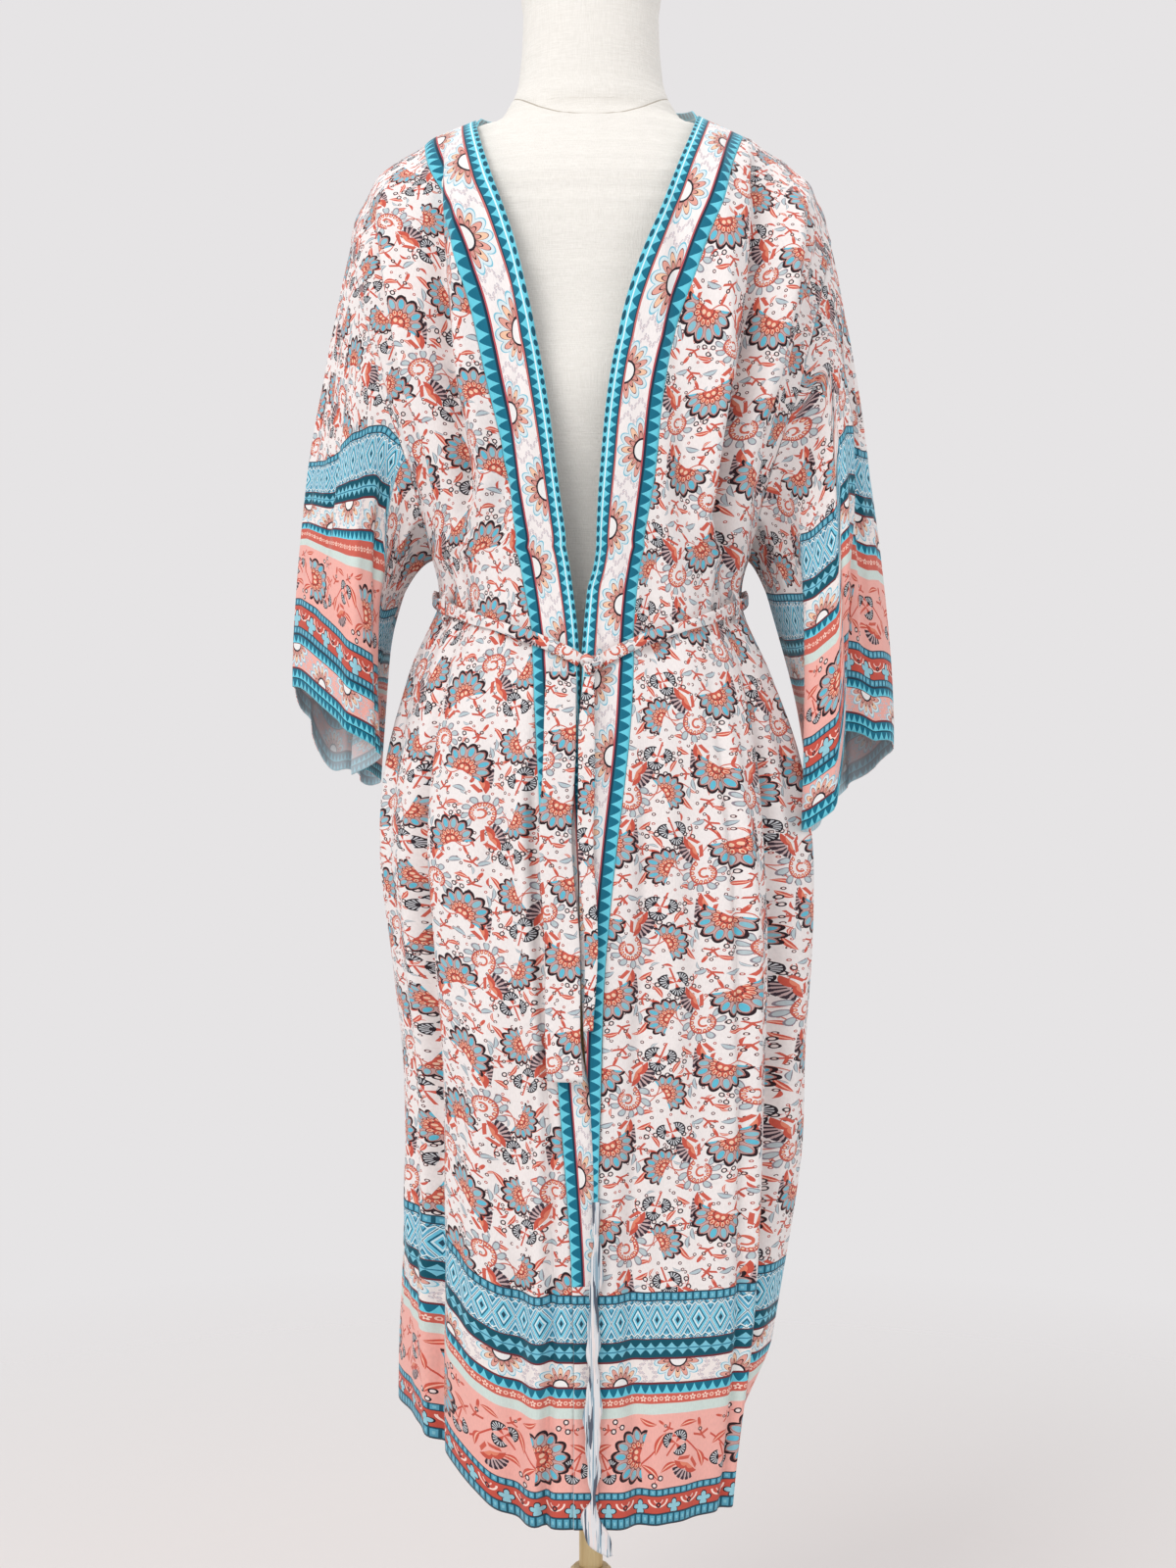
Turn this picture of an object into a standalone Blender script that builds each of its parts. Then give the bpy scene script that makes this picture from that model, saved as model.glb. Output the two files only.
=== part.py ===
"""Kimono coat, worn open and tied at the waist on a limbless dress form that stands on a pole and
four wooden legs.

Metres, +Z up, front towards -Y. Left and right are the wearer's, so the left side is at +X.
The coat is four kinds of cut cloth: a back, two fronts, two wide sleeves and a band along the front edges
and the back neck, with a tie belt in two loops. Every cloth piece is a thin wall on one shared form.
"""
import math

import bmesh
import bpy
import numpy as np

# Main heights
HEM_Z = 0.272
UNDERARM_Z = 1.040
CHEST_Z = 1.200          # above this height the panels curve in to the shoulder seam
KNOT_Z = 0.942
KNOT_SHARE = 0.018       # the belt starts to rise at this share of the way from the middle to the side
SIDE_BELT_Z = 1.010

# Cloth and seams
WALL = 0.0012            # body and sleeve cloth
BAND_WALL = 0.0020       # the band is folded double
SEAM = 0.0005            # space between two pieces at a seam
ARMHOLE_DEPTH = 0.062    # half of the armhole's front to back size
ARMHOLE_ROUND = 0.110    # height over which the armhole opens from the underarm

# The coat's outline at each height: how far it reaches to each side, to the front and to the back,
# and the share by which its front is narrower than its sides.
BODY_COLUMNS = ("z", "right", "left", "front", "back", "narrow_right", "narrow_left")
BODY = (
    (0.272, 0.174, 0.142, 0.157, 0.121, 0.50, 0.20),
    (0.300, 0.171, 0.145, 0.155, 0.122, 0.40, 0.16),
    (0.366, 0.164, 0.151, 0.150, 0.126, 0.22, 0.08),
    (0.424, 0.160, 0.158, 0.146, 0.129, 0.10, 0.02),
    (0.508, 0.157, 0.168, 0.142, 0.133, 0.00, 0.00),
    (0.624, 0.158, 0.178, 0.140, 0.138, 0.00, 0.00),
    (0.716, 0.169, 0.184, 0.140, 0.141, 0.00, 0.00),
    (0.808, 0.178, 0.179, 0.140, 0.142, 0.00, 0.00),
    (0.874, 0.171, 0.169, 0.136, 0.136, 0.00, 0.00),
    (0.940, 0.153, 0.151, 0.129, 0.118, 0.00, 0.00),
    (1.010, 0.129, 0.128, 0.121, 0.098, 0.00, 0.00),
    (1.060, 0.141, 0.140, 0.130, 0.102, 0.00, 0.00),
    (1.120, 0.163, 0.162, 0.139, 0.109, 0.00, 0.00),
    (1.170, 0.182, 0.181, 0.142, 0.115, 0.00, 0.00),
    (1.200, 0.190, 0.189, 0.141, 0.118, 0.00, 0.00),
)

# The line over the shoulder, from the middle of the neck to the top of the armhole.
# Inside the neck it only carries the surface on; nothing is cut there.
SHOULDER_COLUMNS = ("share", "x", "front_z", "back_z")
SHOULDER = (
    (0.00, 0.000, 1.440, 1.478),
    (0.22, 0.050, 1.432, 1.462),
    (0.40, 0.095, 1.411, 1.411),
    (0.58, 0.136, 1.392, 1.392),
    (0.72, 0.168, 1.372, 1.372),
    (0.83, 0.188, 1.350, 1.350),
    (0.92, 0.198, 1.330, 1.330),
    (1.00, 0.203, 1.308, 1.308),
)

# The front band's edges: how far its opening edge and its seam lie from the middle.
BAND_COLUMNS = ("z", "right_edge", "right_seam", "left_edge", "left_seam")
BAND = (
    (0.272, 0.0040, 0.0135, 0.0020, 0.0105),
    (0.430, 0.0045, 0.0140, 0.0020, 0.0105),
    (0.480, 0.0060, 0.0160, 0.0020, 0.0105),
    (0.545, 0.0070, 0.0205, 0.0020, 0.0110),
    (0.615, 0.0075, 0.0260, 0.0020, 0.0125),
    (0.700, 0.0080, 0.0330, 0.0020, 0.0165),
    (0.800, 0.0085, 0.0390, 0.0020, 0.0225),
    (0.900, 0.0090, 0.0440, 0.0020, 0.0315),
    (0.942, 0.0090, 0.0455, 0.0022, 0.0335),
    (0.980, 0.0114, 0.0488, 0.0025, 0.0340),
    (1.012, 0.0157, 0.0544, 0.0030, 0.0375),
    (1.090, 0.0264, 0.0670, 0.0065, 0.0498),
    (1.167, 0.0369, 0.0830, 0.0142, 0.0585),
    (1.249, 0.0530, 0.1002, 0.0325, 0.0810),
    (1.329, 0.0775, 0.1260, 0.0650, 0.1075),
    (1.380, 0.0915, 0.1380, 0.0810, 0.1240),
    (1.412, 0.0980, 0.1400, 0.0905, 0.1320),
)
NECK_RISE = 0.60         # where the back neck edge crosses the middle, as a share of the way up the shoulder
NECK_SEAM_RISE = 0.38    # and the same for the neck band's seam

# Large folds of the hanging cloth. Each runs down the cloth from one height to another; place is the share of the
# way from the middle to the side, a negative depth is a furrow, and lean leads the fold sideways at its foot.
FOLD_COLUMNS = ("side", "face", "place", "lean", "width", "depth", "top_z", "foot_z")
FOLDS = (
    ("right", "front", 0.60, -0.02, 0.050, -0.013, 1.000, 0.300),
    ("right", "front", 0.42, -0.04, 0.090, 0.008, 0.900, 0.272),
    ("right", "front", 0.80, -0.06, 0.070, 0.008, 0.980, 0.400),
    ("right", "front", 0.24, 0.02, 0.045, -0.007, 0.520, 0.272),
    ("right", "front", 0.62, -0.05, 0.060, -0.012, 1.290, 1.030),
    ("right", "front", 0.74, 0.02, 0.050, 0.009, 1.330, 1.020),
    ("right", "front", 0.87, 0.00, 0.050, -0.010, 1.320, 1.030),
    ("right", "front", 0.50, -0.05, 0.050, 0.007, 1.260, 1.010),
    ("left", "front", 0.62, 0.02, 0.045, -0.013, 1.000, 0.300),
    ("left", "front", 0.44, 0.06, 0.090, 0.010, 0.960, 0.272),
    ("left", "front", 0.20, 0.03, 0.070, -0.010, 0.620, 0.300),
    ("left", "front", 0.82, 0.00, 0.070, 0.008, 0.980, 0.400),
    ("left", "front", 0.66, -0.03, 0.055, -0.015, 1.290, 1.000),
    ("left", "front", 0.54, -0.04, 0.055, 0.008, 1.270, 1.010),
    ("left", "front", 0.80, 0.00, 0.050, 0.010, 1.330, 1.010),
    ("left", "front", 0.92, 0.00, 0.040, -0.008, 1.320, 1.040),
    ("right", "back", 0.20, 0.03, 0.075, -0.017, 0.980, 0.272),
    ("right", "back", 0.40, 0.03, 0.085, 0.012, 0.960, 0.272),
    ("right", "back", 0.60, 0.00, 0.070, -0.015, 0.960, 0.272),
    ("right", "back", 0.82, -0.02, 0.070, 0.008, 0.940, 0.272),
    ("right", "back", 0.60, -0.10, 0.070, -0.009, 1.280, 1.020),
    ("right", "back", 0.84, -0.06, 0.060, 0.007, 1.320, 1.030),
    ("left", "back", 0.06, 0.02, 0.085, 0.013, 0.970, 0.272),
    ("left", "back", 0.32, 0.04, 0.075, -0.018, 0.980, 0.272),
    ("left", "back", 0.58, 0.00, 0.085, 0.013, 0.940, 0.272),
    ("left", "back", 0.80, 0.00, 0.065, -0.012, 0.900, 0.272),
    ("left", "back", 0.52, -0.08, 0.070, -0.008, 1.290, 1.020),
    ("left", "back", 0.80, -0.05, 0.060, 0.007, 1.310, 1.030),
)
GATHERS = 2.5            # small pleats that the belt draws in, over each quarter of the waist
GATHER_DEPTH = 0.0030
CINCH_DEPTH = 0.0030     # how far the belt draws the cloth in

# The sleeve's cuff, corner by corner, once round from the underarm over the front to the top fold and back.
# share is the place along the cuff, out is away from the body, and ahead is towards the front.
CUFF_COLUMNS = ("share", "out", "ahead", "z")
CUFF_RIGHT = (
    (0.00, 0.192, -0.006, 0.862),
    (0.07, 0.202, 0.010, 0.858),
    (0.13, 0.183, 0.030, 0.866),
    (0.20, 0.172, 0.062, 0.876),
    (0.27, 0.192, 0.070, 0.890),
    (0.37, 0.222, 0.050, 0.914),
    (0.46, 0.247, 0.020, 0.932),
    (0.52, 0.252, -0.010, 0.926),
    (0.60, 0.249, -0.040, 0.896),
    (0.67, 0.234, -0.062, 0.868),
    (0.74, 0.216, -0.050, 0.856),
    (0.81, 0.204, -0.072, 0.848),
    (0.89, 0.184, -0.062, 0.852),
    (0.95, 0.188, -0.032, 0.858),
)
CUFF_LEFT = (
    (0.00, 0.198, -0.008, 0.822),
    (0.06, 0.194, 0.014, 0.816),
    (0.12, 0.182, 0.050, 0.811),
    (0.18, 0.176, 0.080, 0.813),
    (0.26, 0.206, 0.080, 0.838),
    (0.32, 0.210, 0.056, 0.856),
    (0.38, 0.206, 0.034, 0.868),
    (0.45, 0.230, 0.026, 0.884),
    (0.52, 0.255, 0.004, 0.886),
    (0.60, 0.248, -0.034, 0.866),
    (0.68, 0.228, -0.064, 0.848),
    (0.76, 0.212, -0.052, 0.836),
    (0.84, 0.202, -0.074, 0.826),
    (0.92, 0.192, -0.050, 0.822),
)
SLEEVE_SWELL = 0.016     # how far the sleeve's front and back stand off a straight fall
SLEEVE_START = 0.075     # how strongly the sleeve first follows the shoulder

# The dress form's outline at each height, up to the chest
FORM_COLUMNS = ("z", "side", "front", "back")
FORM = (
    (0.700, 0.140, 0.088, 0.094),
    (0.706, 0.148, 0.095, 0.101),
    (0.760, 0.164, 0.108, 0.118),
    (0.820, 0.169, 0.112, 0.124),
    (0.880, 0.157, 0.107, 0.113),
    (0.950, 0.129, 0.098, 0.088),
    (1.010, 0.114, 0.092, 0.076),
    (1.070, 0.122, 0.100, 0.080),
    (1.120, 0.135, 0.114, 0.088),
    (1.170, 0.147, 0.124, 0.096),
    (1.220, 0.154, 0.116, 0.102),
    (1.270, 0.166, 0.104, 0.104),
    (1.310, 0.175, 0.100, 0.104),
    (1.345, 0.176, 0.100, 0.104),
    (1.385, 0.160, 0.100, 0.104),
    (1.400, 0.120, 0.080, 0.090),
    (1.410, 0.085, 0.065, 0.075),
)
FORM_SLACK = 0.0055      # the cloth's standoff from the form at the shoulders
FORM_RISE = 0.0070
# Its neck, above the shoulders
NECK = (
    (1.4150, 0.0740, 0.0580, 0.0660),
    (1.4320, 0.0645, 0.0560, 0.0610),
    (1.4600, 0.0595, 0.0550, 0.0575),
    (1.5000, 0.0575, 0.0545, 0.0555),
    (1.5260, 0.0570, 0.0540, 0.0550),
    (1.5300, 0.0540, 0.0510, 0.0520),
)
POLE_RADIUS = 0.010
HUB_RADIUS = 0.0175
HUB_LOW = 0.105
HUB_TOP = 0.186
LEG_WIDTH = 0.018
EDGE = 0.003
REST_GAP = 0.0003

# A leg seen from the side: how far from the pole, its underside and its top. The last rows are the flat foot.
LEG_COLUMNS = ("reach", "under", "top")
LEG = (
    (0.0180, 0.1180, 0.1800),
    (0.0500, 0.1000, 0.1600),
    (0.0900, 0.0740, 0.1270),
    (0.1350, 0.0430, 0.0880),
    (0.1800, 0.0190, 0.0560),
    (0.2250, 0.0000, 0.0330),
    (0.2580, 0.0000, 0.0230),
    (0.2700, 0.0000, 0.0160),
)

# Belt and its hanging ends
BELT_HEIGHT = 0.013
BELT_THICK = 0.0026
BELT_OFF = 0.0024        # space between the belt and the cloth under it
LOOP_SIDE = 0.118        # how far from the middle the belt's loops are
LOOP_WIDTH = 0.006
LOOP_THICK = 0.0010
LOOP_HALF = 0.014
BELT_START = 0.036       # the belt's halves begin beside the knot, at this share of the way to the side
KNOT_SIZE = (0.0130, 0.0085, 0.0120)
KNOT_CENTRE = (0.0, -0.1370, 0.9445)
TIE_COLUMNS = ("z", "x", "width", "ahead")
TIE_RIGHT = (
    (0.9330, -0.0078, 0.014, 0.1385),
    (0.9000, -0.0225, 0.029, 0.1425),
    (0.8200, -0.0245, 0.031, 0.1475),
    (0.7200, -0.0225, 0.029, 0.1485),
    (0.6100, -0.0175, 0.028, 0.1490),
)
TIE_LEFT = (
    (0.9320, 0.0062, 0.012, 0.1385),
    (0.9000, 0.0085, 0.016, 0.1430),
    (0.8200, 0.0080, 0.015, 0.1480),
    (0.7400, 0.0060, 0.014, 0.1490),
    (0.6620, 0.0055, 0.015, 0.1495),
)

# How finely each piece is meshed
SECTION_SAMPLES = 120
FRONT_STEPS = 14
BAND_STEPS = 3
NECK_STEPS = 6
BACK_STEPS = 9
SLEEVE_RINGS = 10
FORM_STEPS = 40
SIDE_TRIM = 0.0012       # the panels' share left free at the side seams and armholes
NECK_TRIM = 0.003        # and at the neck band's seam
BAND_TRIM = 0.004        # and at the front bands' seams

SIDE_SIGN = {"left": 1.0, "right": -1.0}
FACE_SIGN = {"front": -1.0, "back": 1.0}

# Plain colours: red, green, blue, roughness
COLOURS = {
    "print": (0.86, 0.78, 0.75, 0.75),
    "border": (0.78, 0.48, 0.45, 0.75),
    "band": (0.10, 0.42, 0.52, 0.75),
    "linen": (0.82, 0.80, 0.75, 0.90),
    "pole": (0.80, 0.68, 0.42, 0.45),
}


def column(table, columns, name):
    """One named column of a table, as an array."""
    return np.array([row[columns.index(name)] for row in table], float)


def curve_through(at, known_at, values):
    """A smooth curve through known values, read at any places (a cubic between each two rows)."""
    at = np.clip(np.asarray(at, float), known_at[0], known_at[-1])
    slope = np.gradient(values, known_at)
    i = np.clip(np.searchsorted(known_at, at, side="right") - 1, 0, len(known_at) - 2)
    span = known_at[i + 1] - known_at[i]
    t = (at - known_at[i]) / span
    rise = 3 * t**2 - 2 * t**3
    return (
        values[i] * (1 - rise)
        + values[i + 1] * rise
        + span * slope[i] * (t**3 - 2 * t**2 + t)
        + span * slope[i + 1] * (t**3 - t**2)
    )


def read(table, columns, name, at):
    """A table's column at any value of its first column."""
    return curve_through(at, column(table, columns, columns[0]), column(table, columns, name))


def ease(low, high, value):
    """0 below low, 1 above high, and smooth between."""
    t = np.clip((value - low) / (high - low), 0.0, 1.0)
    return t * t * (3 - 2 * t)


def belt_height(face, share):
    """The belt's height over a face of the coat: level behind, and sagging to the knot in front."""
    if face == "back":
        return SIDE_BELT_Z
    past_knot = np.clip((share - KNOT_SHARE) / (1 - KNOT_SHARE), 0, 1)
    return KNOT_Z + (SIDE_BELT_Z - KNOT_Z) * past_knot**0.66


def fold_offset(side, face, share, z):
    """How far the cloth stands out from its plain outline, from the folds, gathers and belt."""
    off = np.zeros_like(share)
    for fold_side, fold_face, place, lean, width, depth, top_z, foot_z in FOLDS:
        if (fold_side, fold_face) != (side, face):
            continue
        down = np.clip((top_z - z) / (top_z - foot_z), 0, 1)
        reach = ease(0.0, 0.35, down)
        if foot_z > HEM_Z + 0.01:
            reach = reach * ease(0.0, 0.30, 1 - down)
        off += depth * reach * np.exp(-(((share - place - lean * down) / width) ** 2))
    near = np.exp(-(((z - belt_height(face, share)) / 0.055) ** 2))
    tight = np.exp(-(((z - belt_height(face, share)) / 0.030) ** 2))
    waves = np.cos(2 * math.pi * GATHERS * share) * ease(0.10, 0.30, share) * ease(1.0, 0.9, share)
    return off + GATHER_DEPTH * near * waves - CINCH_DEPTH * tight


def armhole_opening(z):
    """Half of the armhole's depth at a height: nothing below the underarm, then opening in a round."""
    up = np.clip((z - UNDERARM_Z) / ARMHOLE_ROUND, 0.0, 1.0)
    return ARMHOLE_DEPTH * np.sqrt(1 - (1 - up) ** 2)


def section(side, face, z):
    """A quarter of the coat's outline at one height, from the middle to the side: places along it, x and y."""
    across = float(read(BODY, BODY_COLUMNS, side, z))
    deep = float(read(BODY, BODY_COLUMNS, face, z))
    narrow = max(0.0, float(read(BODY, BODY_COLUMNS, "narrow_" + side, z))) if face == "front" else 0.0
    power = 0.84
    opening = float(armhole_opening(z))
    last = math.acos(min(1.0, (opening / deep) ** (1 / power)))
    turn = np.linspace(0.0, last, SECTION_SAMPLES)
    x = across * np.sin(turn) ** power * (1 - narrow * np.cos(turn) ** 1.2)
    y = deep * np.cos(turn) ** power
    y[-1] = opening
    length = np.concatenate([[0], np.cumsum(np.hypot(np.diff(x), np.diff(y)))])
    share = length / length[-1]
    out_x, out_y = x / across**2, y / deep**2
    size = np.hypot(out_x, out_y)
    off = fold_offset(side, face, share, z)
    # At the side the fold fades out, so that the front and back meet at the side seam.
    off = off * ease(1.0, 0.93, share) if z < UNDERARM_Z else off
    x = x + off * out_x / size * ease(0.0, 0.04, share)
    y = y + off * out_y / size
    return share, SIDE_SIGN[side] * x, FACE_SIGN[face] * y


def surface_row(side, face, level, share):
    """Points of the coat's form along one row. Level 0 is the hem, 1 the chest and 2 the shoulder seam."""
    share = np.asarray(share, float)
    z = HEM_Z + (CHEST_Z - HEM_Z) * min(level, 1.0)
    known, x, y = section(side, face, z)
    x = np.interp(share, known, x)
    y = np.interp(share, known, y)
    if level <= 1.0:
        return np.stack([x, y, np.full_like(x, z)], axis=1)
    turn = (level - 1.0) * math.pi / 2
    top_x = SIDE_SIGN[side] * read(SHOULDER, SHOULDER_COLUMNS, "x", share)
    top_z = read(SHOULDER, SHOULDER_COLUMNS, face + "_z", share)
    rise = math.sin(turn)
    return np.stack(
        [x + (top_x - x) * rise, y * math.cos(turn), CHEST_Z + (top_z - CHEST_Z) * rise], axis=1
    )


def surface_normals(side, face, level, share):
    """Outward normals at points of one row, the same for every piece that shares them."""
    share = np.asarray(share, float)
    step = 0.006
    across = (
        surface_row(side, face, level, np.minimum(share + step, 1.0))
        - surface_row(side, face, level, np.maximum(share - step, 0.0))
    )
    along = (
        surface_row(side, face, min(level + step, 2.0), share)
        - surface_row(side, face, max(level - step, 0.0), share)
    )
    normal = np.cross(across, along)
    normal /= np.linalg.norm(normal, axis=1, keepdims=True)
    # Front and back meet at the side, so their normals turn straight out there.
    at_side = ease(0.93, 0.995, share) if level < 1.5 else 0.0 * share
    normal *= np.sign(normal[:, 1] * FACE_SIGN[face] + 1e-9)[:, None] if level < 1.0 else 1.0
    normal[:, 1] *= 1 - at_side
    flat = surface_row(side, face, level, share)
    outward_part = normal[:, 0] * flat[:, 0] + normal[:, 1] * flat[:, 1] + normal[:, 2] * max(level - 1.0, 0.0)
    normal *= np.where(outward_part < 0, -1.0, 1.0)[:, None]
    return normal / np.linalg.norm(normal, axis=1, keepdims=True)


def surface_point(side, face, level, share):
    """One point of the coat's form."""
    return surface_row(side, face, level, [share])[0]


def level_of(z):
    """The level of a height at or below the chest."""
    return (z - HEM_Z) / (CHEST_Z - HEM_Z)


def share_at(side, level, column_name):
    """Where a band edge crosses a row of the front, as a share of the way to the side."""
    shares = np.linspace(0.0, 0.9, 181)
    points = surface_row(side, "front", level, shares)
    past = np.abs(points[:, 0]) - read(BAND, BAND_COLUMNS, column_name, points[:, 2])
    i = int(np.argmax(past > 0))
    if i == 0:
        return 0.0
    return float(np.interp(0.0, past[i - 1 : i + 1], shares[i - 1 : i + 1]))


def grid_normals(grid):
    """Outward normals of a grid of points, from its rows and columns."""
    along = np.gradient(grid, axis=0)
    across = np.gradient(grid, axis=1)
    normal = np.cross(across, along)
    return normal / np.maximum(np.linalg.norm(normal, axis=2, keepdims=True), 1e-12)


def link(name, mesh, colour, smooth=True):
    """Adds a mesh to the scene as a named object with its own material."""
    red, green, blue, rough = COLOURS[colour]
    material = bpy.data.materials.new(name)
    material.use_nodes = True
    shader = material.node_tree.nodes["Principled BSDF"]
    shader.inputs["Base Color"].default_value = (red, green, blue, 1.0)
    shader.inputs["Roughness"].default_value = rough
    material.diffuse_color = (red, green, blue, 1.0)
    mesh.materials.append(material)
    if smooth:
        mesh.shade_smooth()
        mesh.set_sharp_from_angle(angle=math.radians(50))
    obj = bpy.data.objects.new(name, mesh)
    bpy.context.scene.collection.objects.link(obj)
    return obj


def closed_mesh(name, points, faces):
    """A mesh whose faces all point out."""
    mesh = bpy.data.meshes.new(name)
    mesh.from_pydata([tuple(map(float, p)) for p in points], [], faces)
    bm = bmesh.new()
    bm.from_mesh(mesh)
    bmesh.ops.recalc_face_normals(bm, faces=bm.faces)
    bm.to_mesh(mesh)
    bm.free()
    return mesh


def cloth_wall(name, outer, normals, thickness, colour):
    """A thin closed wall: a grid of outer points, the same points moved in along their normals, and a rim."""
    inner = outer - thickness * normals
    rows, columns = outer.shape[:2]
    points = np.concatenate([outer.reshape(-1, 3), inner.reshape(-1, 3)])
    behind = rows * columns

    def triangles(start, flip):
        # Both faces of the wall are split along the same diagonals, so they never cross.
        for i in range(rows - 1):
            for j in range(columns - 1):
                a = start + i * columns + j
                for face in ((a, a + 1, a + columns + 1), (a, a + columns + 1, a + columns)):
                    yield face[::-1] if flip else face

    rim = [j for j in range(columns)]
    rim += [i * columns + columns - 1 for i in range(1, rows)]
    rim += [(rows - 1) * columns + j for j in range(columns - 2, -1, -1)]
    rim += [i * columns for i in range(rows - 2, 0, -1)]
    faces = list(triangles(0, False)) + list(triangles(behind, True))
    for a, b in zip(rim, rim[1:] + rim[:1]):
        faces.append((b, a, a + behind, b + behind))
    return link(name, closed_mesh(name, points, faces), colour)


def turned_solid(name, rings, colour):
    """A closed solid through rings of points, with flat ends."""
    rings = np.asarray(rings, float)
    count, around = rings.shape[:2]
    faces = []
    for i in range(count - 1):
        for j in range(around):
            k = (j + 1) % around
            faces.append((i * around + j, i * around + k, (i + 1) * around + k, (i + 1) * around + j))
    faces.append(tuple(range(around))[::-1])
    faces.append(tuple(range((count - 1) * around, count * around)))
    return link(name, closed_mesh(name, rings.reshape(-1, 3), faces), colour)


def body_levels():
    """Rows of the body panels, with one just at the underarm."""
    heights = np.concatenate([
        np.linspace(HEM_Z, 0.88, 11, endpoint=False),
        np.linspace(0.88, UNDERARM_Z, 8, endpoint=False),
        np.linspace(UNDERARM_Z, CHEST_Z, 6),
    ])
    return list(level_of(heights)) + list(np.linspace(1.0, 2.0, 6)[1:])


def trimmed(level):
    """The last row stops just short of the shoulder seam."""
    return level if level < 2.0 else 2.0 - SEAM / (0.14 * math.pi / 2)


def front_panel(side):
    """One front, from the band's seam to the side seam and the armhole."""
    rows, normals = [], []
    for level in body_levels():
        level = trimmed(level)
        first = share_at(side, level, side + "_seam") + BAND_TRIM
        shares = np.linspace(first, 1.0 - SIDE_TRIM, FRONT_STEPS + 1)
        rows.append(surface_row(side, "front", level, shares))
        normals.append(surface_normals(side, "front", level, shares))
    return np.array(rows), np.array(normals)


def front_band(side):
    """The band along one front edge, from the hem to the shoulder seam."""
    rows, normals = [], []
    for level in body_levels():
        level = trimmed(level)
        shares = np.linspace(
            share_at(side, level, side + "_edge"), share_at(side, level, side + "_seam"), BAND_STEPS + 1
        )
        rows.append(surface_row(side, "front", level, shares))
        normals.append(surface_normals(side, "front", level, shares))
    return np.array(rows), np.array(normals)


def neck_point(side, part, turn):
    """A point of the neck band. Part 0 is its free edge and 1 its seam; turn 0 is the shoulder, 90 degrees the middle."""
    edge = share_at(side, 2.0, side + "_edge")
    seam = share_at(side, 2.0, side + "_seam")
    rise = NECK_RISE + (NECK_SEAM_RISE - NECK_RISE) * part
    level = min(2.0 - (1.0 - rise) * math.sin(turn), trimmed(2.0))
    share = (edge + (seam - edge) * part) * math.cos(turn)
    return surface_point(side, "back", level, share), surface_normals(side, "back", level, [share])[0]


def back_columns(side):
    """Places across half of the back, and the level of its top edge at each: first the neck, then the shoulder."""
    corner = share_at(side, 2.0, side + "_seam") + NECK_TRIM
    turns = np.linspace(math.pi / 2, 0.0, NECK_STEPS + 1)
    depth = 1.0 - NECK_SEAM_RISE + NECK_TRIM
    shares = list(corner * np.cos(turns)) + list(np.linspace(corner, 1.0 - SIDE_TRIM, BACK_STEPS + 1)[1:])
    tops = list(2.0 - depth * np.sin(turns)) + [2.0] * BACK_STEPS
    return shares, [min(top, trimmed(2.0)) for top in tops]


def back_panel():
    """The back, in one piece from side to side."""
    rows, normals = [], []
    for level in body_levels():
        points, outs = [], []
        for side in ("right", "left"):
            shares, tops = back_columns(side)
            levels = [level if level <= 1.0 else 1.0 + (level - 1.0) * (top - 1.0) for top in tops]
            half = [surface_point(side, "back", a, s) for a, s in zip(levels, shares)]
            out = [surface_normals(side, "back", a, [s])[0] for a, s in zip(levels, shares)]
            # The middle belongs to both halves, so its normal has no sideways part.
            out[0] = np.array([0.0, out[0][1], out[0][2]]) / np.hypot(out[0][1], out[0][2])
            points.append(half if side == "left" else half[::-1])
            outs.append(out if side == "left" else out[::-1])
        rows.append(np.concatenate([points[0][:-1], points[1]]))
        normals.append(np.concatenate([outs[0][:-1], outs[1]]))
    return np.array(rows), np.array(normals)


def neck_band():
    """The band round the back of the neck, from shoulder seam to shoulder seam."""
    turns = np.linspace(0.0, math.pi / 2, NECK_STEPS + 1)
    rows, normals = [], []
    for side, order in (("right", turns), ("left", turns[::-1][1:])):
        for turn in order:
            found = [neck_point(side, part, turn) for part in np.linspace(0.0, 1.0, BAND_STEPS + 1)]
            rows.append([point for point, _ in found])
            normals.append([normal for _, normal in found])
    return np.array(rows), np.array(normals)


def smooth_ring(table, columns, at):
    """Reads a cuff table at any places round the ring, which closes on itself."""
    share = column(table, columns, "share")
    share = np.concatenate([share[-3:] - 1, share, share[:3] + 1])
    points = []
    for name in columns[1:]:
        values = column(table, columns, name)
        values = np.concatenate([values[-3:], values, values[:3]])
        points.append(curve_through(np.asarray(at), share, values))
    return np.stack(points, axis=1)


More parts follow.
